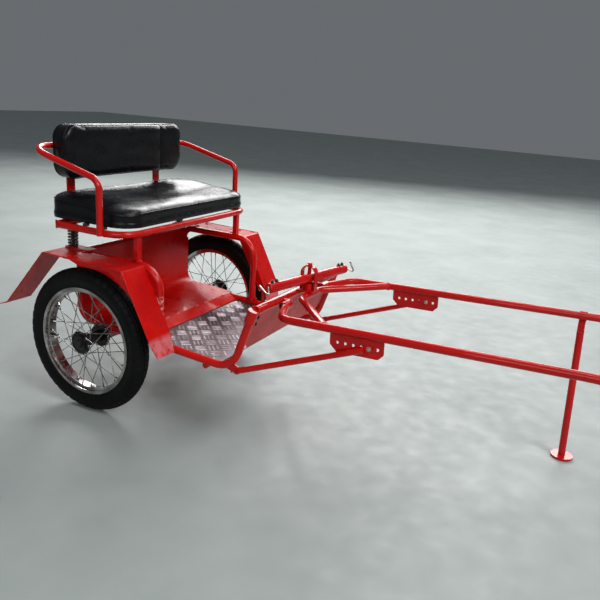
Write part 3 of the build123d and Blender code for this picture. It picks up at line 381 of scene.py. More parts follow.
class Shape:
    """Rings of points joined into one mesh."""

    def __init__(self):
        self.points = []
        self.faces = []

    def ring(self, points):
        start = len(self.points)
        self.points += [Vector(p) for p in points]
        return list(range(start, start + len(points)))

    def bridge(self, a, b):
        count = len(a)
        for i in range(count):
            j = (i + 1) % count
            self.faces.append((a[i], a[j], b[j], b[i]))

    def skin(self, rings, closed=False):
        """Joins rings one after another. A closed skin joins its last ring to its first."""
        for a, b in zip(rings, rings[1:]):
            self.bridge(a, b)
        if closed:
            self.bridge(rings[-1], rings[0])
        else:
            self.faces += [tuple(rings[0]), tuple(reversed(rings[-1]))]

    def tube(self, points, radius, sides=8, closed=False):
        """A round tube along points; radius is one number or one for each point."""
        points = [Vector(p) for p in points]
        count = len(points)
        radii = radius if isinstance(radius, list) else [radius] * count
        rings = []
        across = None
        for i, point in enumerate(points):
            ahead = points[(i + 1) % count] if closed or i + 1 < count else point
            behind = points[i - 1] if closed or i else point
            along = (ahead - behind).normalized()
            across = along.orthogonal() if across is None else across - along * across.dot(along)
            across = across.normalized()
            up = along.cross(across)
            if i == 0:
                first_across, first_up = across, up
            rings.append(self.ring(circle(point, across, up, radii[i], sides)))
        if not closed:
            self.skin(rings)
            return
        # the last ring is turned against the first by a whole number of its sides
        turn = round(math.atan2(across.dot(first_up), across.dot(first_across)) / TAU * sides)
        for a, b in zip(rings, rings[1:]):
            self.bridge(a, b)
        self.bridge(rings[-1], [rings[0][(k + turn) % sides] for k in range(sides)])

    def lathe(self, centre, axis, profile, count=24, first=0.0):
        """Turns (radius, distance along the axis) pairs about an axis through centre."""
        axis, across, up = frame_of(axis)
        self.skin([self.ring(circle(Vector(centre) + axis * along, across, up, radius, count, first))
                   for radius, along in profile])

    def bolt(self, centre, axis, head, washer=1.5):
        """A washer as many times as wide, a six-sided head of (half size, height), and a thread's end."""
        size, height = head
        wide = size * washer
        self.lathe(centre, axis, ((wide, -0.0004), (wide, 0.0010), (wide * 0.95, 0.0014)))
        self.lathe(centre, axis, ((size, 0.001), (size, height * 0.84), (size * 0.84, height)), 6, 0.3)
        thread = ((size * 0.8, height * 0.9), (size * 0.8, height * 1.02), (size * 0.7, height * 1.05))
        self.lathe(centre, axis, thread, 18)

    def bead(self, points, radius):
        """A closed weld bead along points."""
        radii = [radius * (1 + RIPPLE * math.sin(RIPPLE_STEP * i) + UNEVEN * noise.noise(p * UNEVEN_SCALE))
                 for i, p in enumerate(points)]
        self.tube(points, radii, closed=True)

    def saddle(self, start, way, radius, centre, axis, other, bead=0.0030, count=56):
        """A bead where a tube that leads from start along way meets the side of another tube."""
        way, across, up = frame_of(way)
        axis = Vector(axis).normalized()
        flat_way = way - axis * way.dot(axis)
        line = []
        for point in circle(start, across, up, radius, count):
            gap = point - centre
            gap -= axis * gap.dot(axis)
            # the near root of the quadratic for the distance along way
            a, b, c = flat_way.dot(flat_way), 2 * gap.dot(flat_way), gap.dot(gap) - other ** 2
            root = max(b * b - 4 * a * c, 0.0)
            line.append(point + way * (-b - math.sqrt(root)) / (2 * a))
        self.bead(line, bead)

    def ring_bead(self, centre, axis, radius, bead=0.0028, count=56):
        _, across, up = frame_of(axis)
        self.bead(circle(Vector(centre), across, up, radius, count), bead)

    def stitch(self, start, end, bead=0.0026, seed=0.0):
        """A short straight weld with tapered ends."""
        count = max(int((end - start).length / STITCH_STEP), 6)
        radii = []
        for k in range(count + 1):
            taper = STITCH_END + (1 - STITCH_END) * math.sin(math.pi * min(k, count - k) / count) ** 0.4
            radii.append(bead * taper * (1 + STITCH_RIPPLE * math.sin(STITCH_RIPPLE_STEP * k + seed)))
        self.tube([start.lerp(end, k / count) for k in range(count + 1)], radii)

    def data(self, name):
        data = bpy.data.meshes.new(name)
        data.from_pydata([tuple(p) for p in self.points], [], self.faces)
        work = bmesh.new()
        work.from_mesh(data)
        bmesh.ops.recalc_face_normals(work, faces=work.faces)
        work.to_mesh(data)
        work.free()
        return data

    def mesh(self, name, finish, body="chassis", angle=38.0, slot=None):
        """The finished piece, on its body, smooth up to an angle between its faces."""
        data = self.data(name)
        data.polygons.foreach_set("use_smooth", [True] * len(data.polygons))
        data.set_sharp_from_angle(angle=math.radians(angle))
        data.materials.append(finish.material)
        piece = bpy.data.objects.new(name, data)
        bpy.context.scene.collection.objects.link(piece)
        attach(piece, body)
        return piece


def on_wheel(radius, angle, y):
    """A point at a radius and an angle about the wheels' axis."""
    return Vector((AXLE_X + radius * math.cos(angle), y, WHEEL_R + radius * math.sin(angle)))


# Tyres: a round carcass with cut tread blocks, and ribs round the sidewalls
CARCASS_R = 0.037
SIDEWALL_R = CARCASS_R - 0.0006
RIB_ANGLES = (-34, -22, -10, 2, 14, 26)
RIB_RISE, RIB_GROOVE = 0.0006, -0.0002
# (half width, radius) up from the bead, which the rim holds
BEAD_LINE = ((0.0251, 0.2044), (0.0259, 0.2120), (0.0272, 0.2180), (0.0290, 0.2190), (0.0296, 0.2215))
# Half widths over the tread, with close pairs at the walls of its grooves
TREAD_LINE = (0.0345, 0.0328, 0.0300, 0.0270, 0.0240, 0.0212, 0.0198, 0.0180,
              0.0150, 0.0120, 0.0098, 0.0084, 0.0066, 0.0046, 0.0034, 0.0022)
TREAD_STEPS = 400
OUTER_GROOVE = (0.0198, 0.0212)
INNER_GROOVE = (0.0084, 0.0098)
CENTRE_HALF = 0.0024
INNER_GROOVE_DEPTH, TREAD_DEPTH, CENTRE_DEPTH = 0.0034, 0.0030, 0.0022
BLOCK_STEPS, CENTRE_STEPS = 8, 4
BLOCK_SKEW = 300


def tyre_profile():
    """(half width, radius, place across the tread or None) from one bead over the crown to the other."""
    centre = WHEEL_R - CARCASS_R
    half = [(y, radius, None) for y, radius in BEAD_LINE]
    for k, degrees in enumerate(RIB_ANGLES):
        angle = math.radians(degrees)
        wall = SIDEWALL_R + (RIB_RISE if k % 2 else RIB_GROOVE)
        half.append((wall * math.cos(angle), centre + wall * math.sin(angle), None))
    half += [(y, centre + math.sqrt(CARCASS_R ** 2 - y ** 2), y) for y in TREAD_LINE]
    mirrored = [(-y, radius, None if place is None else -place) for y, radius, place in half]
    return mirrored + half[::-1]


def tread_depth(place, step):
    """How far the tread is cut at a place across it and a step round it."""
    side = abs(place)
    turn = step + (2 if place > 0 else 0)
    if INNER_GROOVE[0] <= side <= INNER_GROOVE[1]:
        return INNER_GROOVE_DEPTH
    if OUTER_GROOVE[0] <= side <= OUTER_GROOVE[1]:
        return TREAD_DEPTH
    if side > OUTER_GROOVE[1]:
        return TREAD_DEPTH if turn % BLOCK_STEPS in (0, 1) else 0.0
    if side > INNER_GROOVE[1]:
        return TREAD_DEPTH if (turn + round(side * BLOCK_SKEW)) % BLOCK_STEPS in (4, 5) else 0.0
    if side < CENTRE_HALF:
        return CENTRE_DEPTH if step % CENTRE_STEPS < 2 else 0.0
    return 0.0


profile = tyre_profile()
for name, side in SIDES:
    tyre = Shape()
    rings = []
    for step in range(TREAD_STEPS):
        turn = TAU * step / TREAD_STEPS
        points = []
        for y, radius, place in profile:
            depth = 0.0 if place is None else tread_depth(place * side, step)
            points.append(on_wheel(radius - depth, turn, side * TRACK_HALF + y))
        rings.append(tyre.ring(points))
    tyre.skin(rings, closed=True)
    piece = tyre.mesh("tyre_body_" + name, rubber, "wheel_" + name, 32.0, "tyre_rubber")
    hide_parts("tyre_" + name)


# Wheels: spoke nipples, spoke heads, a valve on each rim, ribs on the hubs' faces, and the axle's ends
FLANGE_OUT, FLANGE_IN, FLANGE_HALF = 0.041, 0.062, 0.0025
SPOKES_PER_FLANGE = 18
SPOKE_STEP = 360 / SPOKES_PER_FLANGE
SPOKE_LEAD = math.radians(60)
SPOKE_FOOT_R, SPOKE_END_R = 0.044, 0.1927
SPOKE_RIM_OFFSET = 0.005
SPOKE_STAND_OFF, SPOKE_SPLAY = 0.0043, 0.0026
# Profiles as (radius, distance along the axis)
NIPPLE_LENGTH = 0.013
NIPPLE = ((0.0019, 0), (0.0026, 0.0012), (0.0026, 0.009), (0.0034, 0.0105), (0.0034, 0.0135))
HEAD_SET_BACK, HEAD_DEPTH = 0.0006, 0.0022
HEAD = ((0.0028, 0), (0.0033, 0.0008), (0.0033, 0.0019), (0.0022, 0.0030))
VALVE_ANGLE, VALVE_FOOT_R = math.radians(186), 0.1935
VALVE = ((0.0058, -0.001), (0.0052, 0.004), (0.0036, 0.006), (0.0034, 0.020),
         (0.0044, 0.0205), (0.0044, 0.030), (0.0034, 0.031))
HUB_RIBS, OUTER_FACE_RIB, INNER_FACE_RIB = (0.0405, 0.034), 0.0285, 0.021
RIB_BEAD, RIB_LIFT = 0.0016, 0.0002
AXLE_END_Y, AXLE_WASHER_Y = 0.4895, 0.4812
AXLE_CAP = ((0.0098, -0.001), (0.0098, 0.0), (0.0090, 0.0011), (0.0030, 0.0013))
AXLE_WASHER = ((0.0190, -0.0009), (0.0190, 0.0006), (0.0182, 0.0010))


def spoke_trim(name, side):
    """Half of each flange's spokes lead from its outer face, and half trail from its inner face."""
    nipples, heads = Shape(), Shape()
    middle = side * TRACK_HALF
    flanges = ((side * FLANGE_OUT, side * SPOKE_RIM_OFFSET, 0.0),
               (-side * FLANGE_IN, -side * SPOKE_RIM_OFFSET, SPOKE_STEP / 2))
    for flange, rim_offset, first in flanges:
        for number in range(SPOKES_PER_FLANGE):
            turn = 1 if number % 2 else -1
            angle = math.radians(first + SPOKE_STEP * number)
            splay = SPOKE_SPLAY if turn * flange > 0 else 0.0
            start = on_wheel(SPOKE_FOOT_R, angle, middle + flange + turn * (SPOKE_STAND_OFF + splay))
            end = on_wheel(SPOKE_END_R, angle + SPOKE_LEAD * turn, middle + rim_offset)
            way = (end - start).normalized()
            out = Vector((0, turn, 0))
            nipples.lathe(end - way * NIPPLE_LENGTH, way, NIPPLE, 8)
            heads.lathe(start - way * HEAD_SET_BACK - out * HEAD_DEPTH, out, HEAD, 10)
    nipples.mesh("spoke_nipples_" + name, steel, "wheel_" + name, slot="bright_spokes")
    heads.mesh("spoke_heads_" + name, steel, "wheel_" + name, slot="bright_spokes")


def valve(name, side):
    stem = Shape()
    foot = on_wheel(VALVE_FOOT_R, VALVE_ANGLE, side * TRACK_HALF)
    stem.lathe(foot, (-math.cos(VALVE_ANGLE), 0, -math.sin(VALVE_ANGLE)), VALVE, 14)
    stem.mesh("valve_" + name, dark_steel, "wheel_" + name)


def hub_ribs(name, side):
    ribs = Shape()
    for reach, out, inmost in ((FLANGE_OUT, side, OUTER_FACE_RIB), (FLANGE_IN, -side, INNER_FACE_RIB)):
        face = side * TRACK_HALF + out * (reach + FLANGE_HALF + RIB_LIFT)
        for radius in (*HUB_RIBS, inmost):
            ribs.ring_bead((AXLE_X, face, WHEEL_R), (0, 1, 0), radius, RIB_BEAD, 64)
    ribs.mesh("hub_ribs_" + name, hub_black, "wheel_" + name, slot="black_hub")


def axle_end(name, side):
    end = Shape()
    end.lathe((AXLE_X, side * AXLE_END_Y, WHEEL_R), (0, side, 0), AXLE_CAP, 28)
    end.lathe((AXLE_X, side * AXLE_WASHER_Y, WHEEL_R), (0, side, 0), AXLE_WASHER, 36)
    end.mesh("axle_end_" + name, hub_black)


for name, side in SIDES:
    spoke_trim(name, side)
    valve(name, side)
    hub_ribs(name, side)
    axle_end(name, side)


# Seat springs: open coils round a guide rod, between two cups
SPRING_FOOT_Z, SPRING_TOP_Z = 0.6171, 0.7005
COIL_R, COIL_WIRE_R, COIL_TURNS, COIL_STEPS = 0.0168, 0.0041, 6.4, 36
END_TURNS, END_RISE = 0.8, 0.03
GUIDE_R = 0.0080
CUP = ((0.0195, 0), (0.0205, 0.0006), (0.0205, 0.0022), (0.0150, 0.0040), (0.0085, 0.0044))

for name, side in SIDES:
    centre = at(SPRING_AHEAD, side * FRAME_SIDE, 0)
    coil_height = SPRING_TOP_Z - SPRING_FOOT_Z - 2 * COIL_WIRE_R
    line = []
    for k in range(int(COIL_TURNS * COIL_STEPS) + 1):
        turn = k / COIL_STEPS
        share = turn / COIL_TURNS
        # the wire rises slower in its end turns
        open_share = min(turn / END_TURNS, (COIL_TURNS - turn) / END_TURNS, 1.0)
        rise = share * (1 - 2 * END_RISE) + END_RISE + END_RISE * (2 * share - 1) * open_share
        line.append(centre + Vector((COIL_R * math.cos(TAU * turn), COIL_R * math.sin(TAU * turn),
                                     SPRING_FOOT_Z + COIL_WIRE_R + coil_height * rise)))
    spring = Shape()
    spring.tube(line, COIL_WIRE_R, 12)
    piece = spring.mesh("spring_coil_" + name, spring_black, slot="black_steel")
    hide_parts("seat_springs")
    guide = Shape()
    foot, top = centre + Vector((0, 0, SPRING_FOOT_Z)), centre + Vector((0, 0, SPRING_TOP_Z))
    guide.lathe(foot, (0, 0, 1), ((GUIDE_R, 0), (GUIDE_R, SPRING_TOP_Z - SPRING_FOOT_Z)))
    guide.lathe(foot - Vector((0, 0, 0.0003)), (0, 0, 1), CUP, 32)
    guide.lathe(top + Vector((0, 0, 0.0002)), (0, 0, -1), CUP, 32)
    guide.mesh("spring_guide_" + name, spring_black, slot="black_steel")


# Tread plate: groups of three raised bars, turned by a quarter from each group to the next
GROUP_PITCH, BAR_PITCH = 0.051, 0.0160
BAR_LONG, BAR_WIDE, BAR_HIGH = 0.0220, 0.0036, 0.0017
BAR_CELLS = range(-12, 22)
REAR_MARGIN, EDGE_MARGIN = 0.012, 0.006
# Shares of a bar's length and width round its outline, and (share, rise) of each ring up its side
BAR_OUTLINE = ((-1, 0), (-0.8, 1), (0.8, 1), (1, 0), (0.8, -1), (-0.8, -1))
BAR_RINGS = ((1.0, -0.0004), (1.0, 0.0), (0.72, BAR_HIGH))


def add_bar(bars, middle, long, side):
    """One raised bar, or none where its tips pass the plate's margins."""
    for tip in (middle - long * BAR_LONG, middle + long * BAR_LONG):
        ahead_fits = plate_low.x + REAR_MARGIN < tip.x < plate_high.x - EDGE_MARGIN
        if not (ahead_fits and abs(tip.y) < plate_high.y - EDGE_MARGIN):
            return
    rings = []
    for shrink, rise in BAR_RINGS:
        ring = []
        for a, b in BAR_OUTLINE:
            p = middle + long * a * (BAR_LONG - BAR_WIDE * (1 - shrink)) + side * b * BAR_WIDE * shrink
            p.z = plate_high.z - (p.x - plate_low.x) * math.tan(RAIL_SLOPE) + rise
            ring.append(p)
        rings.append(bars.ring(ring))
    bars.skin(rings)


plate_low, plate_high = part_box("tread_plate")
diagonal = math.sqrt(0.5)
bars = Shape()
for i in BAR_CELLS:
    for j in BAR_CELLS:
        u, v = (i + 0.5) * GROUP_PITCH, (j + 0.5) * GROUP_PITCH
        centre = Vector((plate_low.x + (u + v) * diagonal, (u - v) * diagonal, 0))
        long = Vector((diagonal, diagonal if (i + j) % 2 else -diagonal, 0))
        side = Vector((-long.y, long.x, 0))
        for k in (-1, 0, 1):
            add_bar(bars, centre + side * BAR_PITCH * k, long, side)
# The bars take the lighter metal, a painted highlight
bars.mesh("tread_bars", highlit_bars, angle=30.0, slot="tread_aluminium")


# Welds, with places in millimetres and radii in metres
SEAT_TUBE_R = 0.013
SPRING_BAR_SIDE = 395
ARM_FOOT_AHEAD, ARM_FOOT_SIDE, ARM_FOOT_HALF = 84, 433.8, 9.5
ARM_WELD_Z = (703, 722)
DASH_TUBE_R, DASH_TUBE_END, SLEEVE_R = 0.017, 300, 0.01925
CROSS_BEND, CROSS_END = (760, 113, 511.4), (938, 314, 513.1)
CROSS_TUBE_R = 0.0135
FOOT_COLLAR_RISE, FOOT_BEAD_R = 0.0068, 0.0150
POST_HALF, POST_WELD_Z = 11, (611.6, 700.6)
PLATE_WELDS, PLATE_WELD_LENGTH, PLATE_WELD_SIDE = (14, 82, 152), 22, 5.2
PLATE_WELD_START = (962, 500.2)
PLATE_WELD_RISE = 0.9
TAB_WELD_SIDE, TAB_WELD_START, TAB_WELD_END = 4.6, (592, 271.5), (611, 282.5)
FLOOR_WELDS, FLOOR_WELD_PITCH, FLOOR_WELD_HALF = 9, 68, 13
FLOOR_FOLD_AHEAD, FLOOR_FOLD_Z = 150.5, 328.1


def dash_top():
    """The middle of the tube along the top of the dash."""
    low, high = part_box("dash_top_tube")
    return Vector(((low.x + high.x) / 2, 0, (low.z + high.z) / 2))


def seat_welds(beads, side):
    """The spring bar in the seat's side tube, and the arm rail's foot on its outside."""
    beads.saddle(at(SPRING_AHEAD, side * SPRING_BAR_SIDE, SEAT_FRAME_Z), (0, side, 0), SEAT_TUBE_R,
                 at(SPRING_AHEAD, side * SEAT_SIDE, SEAT_FRAME_Z), (1, 0, 0), SEAT_TUBE_R)
    for step in (-1, 1):
        foot = [at(ARM_FOOT_AHEAD + step * ARM_FOOT_HALF, side * ARM_FOOT_SIDE, z) for z in ARM_WELD_Z]
        beads.stitch(*foot, 0.0032, step)


def post_welds(beads, side):
    """The post on the hoop and under the seat frame."""
    corners = ((-1, -1), (1, -1), (1, 1), (-1, 1))
    for z in POST_WELD_Z:
        square = [at(POST_AHEAD + a * POST_HALF, side * FRAME_SIDE + b * POST_HALF, z) for a, b in corners]
        for start, end in zip(square, square[1:] + square[:1]):
            beads.stitch(start, end, 0.0024)


def shaft_welds(beads, side):
    """The cross tube on the shaft, and the adjuster plate under it."""
    start, end = on_side(CROSS_BEND, side), on_side(CROSS_END, side)
    along_shaft = (math.cos(SHAFT_SLOPE), 0, math.sin(SHAFT_SLOPE))
    beads.saddle(start.lerp(end, 0.8), end - start, CROSS_TUBE_R, end, along_shaft, FRAME_TUBE_R)
    for along in PLATE_WELDS:
        ahead = PLATE_WELD_START[0] + along
        z = PLATE_WELD_START[1] + along * math.tan(SHAFT_SLOPE)
        for face in (-1, 1):
            y = side * SHAFT_SIDE + face * PLATE_WELD_SIDE
            beads.stitch(at(ahead, y, z), at(ahead + PLATE_WELD_LENGTH, y, z + PLATE_WELD_RISE), seed=along)


def frame_welds(beads, name, side):
    """The dash's top tube in its sleeve, the hoop on its foot collar, and the brace's tab on the rail."""
    dash_up = (math.sin(DASH_LEAN), 0, math.cos(DASH_LEAN))
    out = Vector((0, side / 1000, 0))
    tube_end, sleeve = dash_top() + out * DASH_TUBE_END, dash_top() + out * FRAME_SIDE
    beads.saddle(tube_end, out, DASH_TUBE_R, sleeve, dash_up, SLEEVE_R, 0.0026)
    foot = at(HOOP_FORE_AHEAD, side * FRAME_SIDE, 0)
    foot.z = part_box("side_hoop_" + name)[0].z + FOOT_COLLAR_RISE
    beads.ring_bead(foot, (0, 0, 1), FOOT_BEAD_R)
    for face in (-1, 1):
        y = side * FRAME_SIDE + face * TAB_WELD_SIDE
        beads.stitch(*(at(ahead, y, z) for ahead, z in (TAB_WELD_START, TAB_WELD_END)))


weld_beads = Shape()
for name, side in SIDES:
    seat_welds(weld_beads, side)
    frame_welds(weld_beads, name, side)
    shaft_welds(weld_beads, side)
    post_welds(weld_beads, side)
weld_beads.mesh("weld_beads", red, slot="red_paint", angle=60.0)

# The welds along the floor's fold, coloured with the pale pink painted highlight
floor_welds = Shape()
for k in range(FLOOR_WELDS):
    y = (k - (FLOOR_WELDS - 1) / 2) * FLOOR_WELD_PITCH
    ends = [at(FLOOR_FOLD_AHEAD, y + half, FLOOR_FOLD_Z) for half in (-FLOOR_WELD_HALF, FLOOR_WELD_HALF)]
    floor_welds.stitch(*ends, 0.0030, k)
floor_welds.mesh("floor_welds", weld_highlight, slot="red_paint", angle=60.0)


# Bolts and nuts, with places in millimetres, and heads, as (half size, height), and offsets in metres
BRACE_HEAD, BRACE_NUT, BRACE_WASHER = (0.0066, 0.0056), (0.0066, 0.0070), 1.25
ADJUSTER_HEAD, ADJUSTER_NUT, ADJUSTER_WASHER = (0.0064, 0.0056), (0.0062, 0.0062), 1.2
ADJUSTER_HEAD_OUT, ADJUSTER_NUT_IN = 0.0092, 0.0030
PANEL_HEAD, PANEL_NUT = (0.0056, 0.0048), (0.0056, 0.0056)
EYE_HEAD, EYE_NUT, PIN_HEAD = (0.0098, 0.0090), (0.0098, 0.0110), (0.0098, 0.0085)
STAY_HEAD, SLOPE_HEAD, WEB_HEAD, WEB_WASHER = (0.0060, 0.0048), (0.0060, 0.0046), (0.0050, 0.0040), 1.3
BRACE_REAR_AHEAD, BRACE_REAR_Z = 618, 284.6
BRACE_OUTER_SIDE, BRACE_INNER_SIDE = 347.2, 335.0
ADJUSTER_REAR, ADJUSTER_LENGTH = 0.958, 0.189
ADJUSTER_HOLE_ALONG, ADJUSTER_HOLE_DROP = 0.027 + 4 * 0.0283, 0.028
DASH_BOLTS = ((283, 480), (286, 455))
DASH_FACE, DASH_AND_TONGUE = 0.0015, 0.0083
EYE_INNER_SIDE, EYE_OUTER_SIDE = 146.4, 187.1
FENDER_BOLTS_AHEAD, FENDER_BOLTS_SIDE = (-70, 120), (372, 446)
FENDER_FLAT_Z, FENDER_FORE_AHEAD, FENDER_REAR_RISE, FENDER_FLAT_LENGTH = 603.0, 205.0, 8.0, 385.0
SLOPE_BOLT, WEB_BOLT = (206, 473.8, 580), (POST_AHEAD, 349.2, 621)
BACK_BAR_AHEAD, BACK_BAR_SIDE, BACK_BOLTS_Z = -242.5, 262, (935, 1000)
PIN_AHEAD = 716


def fender_top(ahead):
    return FENDER_FLAT_Z + FENDER_REAR_RISE * (FENDER_FORE_AHEAD - ahead) / FENDER_FLAT_LENGTH


def dash_point(y, z):
    """A point in the middle plane of the dash panel, from millimetres to the left and above the ground."""
    top = dash_top()
    return top + Vector((math.tan(DASH_LEAN) * (z / 1000 - top.z), y / 1000, z / 1000 - top.z))


def adjuster_bolt(side):
    """The middle of the adjuster plate's fifth hole."""
    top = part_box("adjuster_plates")[1].z - ADJUSTER_LENGTH * math.sin(SHAFT_SLOPE)
    along, drop = ADJUSTER_HOLE_ALONG, ADJUSTER_HOLE_DROP
    ahead = ADJUSTER_REAR + along * math.cos(SHAFT_SLOPE) + drop * math.sin(SHAFT_SLOPE)
    return Vector((AXLE_X + ahead, side * SHAFT_SIDE / 1000,
                   top + along * math.sin(SHAFT_SLOPE) - drop * math.cos(SHAFT_SLOPE)))


def brace_bolts(pale, painted, side):
    """Through the tab below the dash, and through the adjuster plate."""
    out = Vector((0, side, 0))
    rear = [at(BRACE_REAR_AHEAD, side * y, BRACE_REAR_Z) for y in (BRACE_OUTER_SIDE, BRACE_INNER_SIDE)]
    painted.bolt(rear[0], out, BRACE_HEAD, BRACE_WASHER)
    painted.bolt(rear[1], -out, BRACE_NUT, BRACE_WASHER)
    fore = adjuster_bolt(side)
    pale.bolt(fore + out * ADJUSTER_HEAD_OUT, out, ADJUSTER_HEAD, ADJUSTER_WASHER)
    pale.bolt(fore - out * ADJUSTER_NUT_IN, -out, ADJUSTER_NUT, ADJUSTER_WASHER)


def dash_bolts(dark, side):
    """Through the panel and the bracket's tongue behind it."""
    front = Vector((math.cos(DASH_LEAN), 0, -math.sin(DASH_LEAN)))
    for y, z in DASH_BOLTS:
        point = dash_point(side * y, z) + front * DASH_FACE
        dark.bolt(point, front, PANEL_HEAD)
        dark.bolt(point - front * DASH_AND_TONGUE, -front, PANEL_NUT)


def fender_bolts(painted, side):
    """Down into the stays, through the fore slope, and through the web to the post."""
    for ahead in FENDER_BOLTS_AHEAD:
        for y in FENDER_BOLTS_SIDE:
            painted.bolt(at(ahead, side * y, fender_top(ahead) + 0.1), (0, 0, 1), STAY_HEAD)
    painted.bolt(on_side(SLOPE_BOLT, side), (0, side, 0), SLOPE_HEAD)
    painted.bolt(on_side(WEB_BOLT, side), (0, side, 0), WEB_HEAD, WEB_WASHER)


pale, dark, painted = Shape(), Shape(), Shape()
for name, side in SIDES:
    brace_bolts(pale, painted, side)
    dash_bolts(dark, side)
    fender_bolts(painted, side)
    dark.bolt(at(SHAFT_EYE_AHEAD, side * EYE_INNER_SIDE, SHAFT_EYE_Z), (0, -side, 0), EYE_HEAD)
    dark.bolt(at(SHAFT_EYE_AHEAD, side * EYE_OUTER_SIDE, SHAFT_EYE_Z), (0, side, 0), EYE_NUT)
    for z in BACK_BOLTS_Z:
        dark.bolt(at(BACK_BAR_AHEAD, side * BACK_BAR_SIDE, z), (-1, 0, 0), PANEL_HEAD)
strap_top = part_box("singletree_bracket")[1].z * 1000
painted.bolt(at(PIN_AHEAD, 0, strap_top - 0.4), (0, 0, 1), PIN_HEAD)
pale.mesh("bolts_zinc", zinc)
dark.mesh("bolts_black", dark_steel)
painted.mesh("bolts_painted", red, slot="red_paint")


# Fenders: the folded bead along each outer edge
EDGE_SIDE, EDGE_R = 473.4, 0.0021
SLOPE_LENGTH, SLOPE_DROP, SLOPE_STEPS = 121.8, 231, 24

for name, side in SIDES:
    edge = Shape()
    crease = [at(ahead, side * EDGE_SIDE, fender_top(ahead) + 0.2) for ahead in range(-176, 204, 6)]
    slope = [at(FENDER_FORE_AHEAD + SLOPE_LENGTH * k / SLOPE_STEPS, side * EDGE_SIDE,
                FENDER_FLAT_Z - SLOPE_DROP * k / SLOPE_STEPS) for k in range(SLOPE_STEPS + 1)]
    edge.tube(crease + slope, EDGE_R)
    edge.mesh("fender_edge_" + name, red, slot="red_paint", angle=60.0)


# Singletree: two nuts near each end ride with the bar
SWING_AT_REST = math.radians(-12.0)
NUTS_OUT, NUT_LIFT = (0.190, 0.214), 0.0188
# (profile, sides) of the washer, the nut and the end of its stud
BAR_NUT = ((((0.0085, -0.0012), (0.0085, 0.0008), (0.0080, 0.0011)), 20),
           (((0.0064, 0.0005), (0.0064, 0.0058), (0.0054, 0.0066)), 6),
           (((0.0034, 0.005), (0.0034, 0.0094), (0.0028, 0.0100)), 14))

bar_low, bar_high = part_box("singletree_bar")
bar_way = Vector((-math.sin(SWING_AT_REST), math.cos(SWING_AT_REST), 0))
bar_nuts = Shape()
for side in (-1, 1):
    for out in NUTS_OUT:
        foot = (bar_low + bar_high) / 2 + bar_way * side * out + Vector((0, 0, NUT_LIFT))
        for profile, sides in BAR_NUT:
            bar_nuts.lathe(foot, (0, 0, 1), profile, sides)
bar_nuts.mesh("bar_nuts", dark_steel, "singletree")


# Cushions: a swollen cloth skin over a rounded form
CLOTH_FRAMES = 20
CLOTH_STIFFNESS, CLOTH_BENDING = 18, 8.0
PRESSURE = 4.0
LEAST_CORNER = 0.004
PIPING_R = 0.0023
# The rays that find a piping's line start this far outside the pad
CLEAR = 0.03


def rounded_outline(half_a, half_b, corners, inset, count=12):
    """Points round a rectangle whose corners are rounded by one radius ahead along a and one behind."""
    line = []
    for quarter, (sa, sb) in enumerate(((1, 1), (-1, 1), (-1, -1), (1, -1))):
        radius = max(corners[0 if sa > 0 else 1] - inset, LEAST_CORNER)
        a, b = half_a - inset - radius, half_b - inset - radius
        for k in range(count + 1):
            angle = math.pi / 2 * (quarter + k / count)
            line.append((sa * a + radius * math.cos(angle), sb * b + radius * math.sin(angle)))
    return line


def even_outline(half_a, half_b, corners, step=0.006):
    """The same outline in steps of about one length."""
    raw = [Vector(p) for p in rounded_outline(half_a, half_b, corners, 0.0, 24)]
    points = []
    for a, b in zip(raw, raw[1:] + raw[:1]):
        count = max(int((b - a).length / step), 1)
        points += [a.lerp(b, k / count) for k in range(count)]
    return points


def pad_form(name, centre, axes, half_a, half_b, corners, depth, base_round, face_round):
    """A closed form that rises along its third axis, from a flat base to a rounded face."""
    along_a, along_b, up = (Vector(axis) for axis in axes)
    base_turns = (0, math.pi / 4, math.pi / 2)
    face_turns = (0, math.pi / 8, math.pi / 4, math.pi * 3 / 8, math.pi / 2)
    steps = [(base_round * (1 - math.sin(t)), base_round * (1 - math.cos(t))) for t in base_turns]
    steps += [(face_round * (1 - math.cos(t)), depth - face_round * (1 - math.sin(t))) for t in face_turns]
    form = Shape()
    rings = []
    for inset, rise in steps:
        rings.append(form.ring([Vector(centre) + along_a * a + along_b * b + up * rise
                                for a, b in rounded_outline(half_a, half_b, corners, inset)]))
    form.skin(rings)
    piece = bpy.data.objects.new(name, form.data(name))
    bpy.context.scene.collection.objects.link(piece)
    return piece


def apply_all(piece):
    """Puts the shape that the modifiers give into the mesh, and takes them off."""
    bpy.context.view_layer.update()
    seen = piece.evaluated_get(bpy.context.evaluated_depsgraph_get())
    data = bpy.data.meshes.new_from_object(seen)
    piece.modifiers.clear()
    old = piece.data
    piece.data = data
    bpy.data.meshes.remove(old)


def modified(piece, kind, **settings):
    """Adds one modifier with its settings, and applies it."""
    modifier = piece.modifiers.new(kind.lower(), kind)
    for setting, value in settings.items():
        setattr(modifier, setting, value)
    apply_all(piece)


def remeshed(piece, voxel):
    modified(piece, "REMESH", mode="VOXEL", voxel_size=voxel)


def calmed(piece, passes):
    modified(piece, "SMOOTH", factor=0.5, iterations=passes)


def subdivided(piece):
    modified(piece, "SUBSURF", levels=1, render_levels=1)


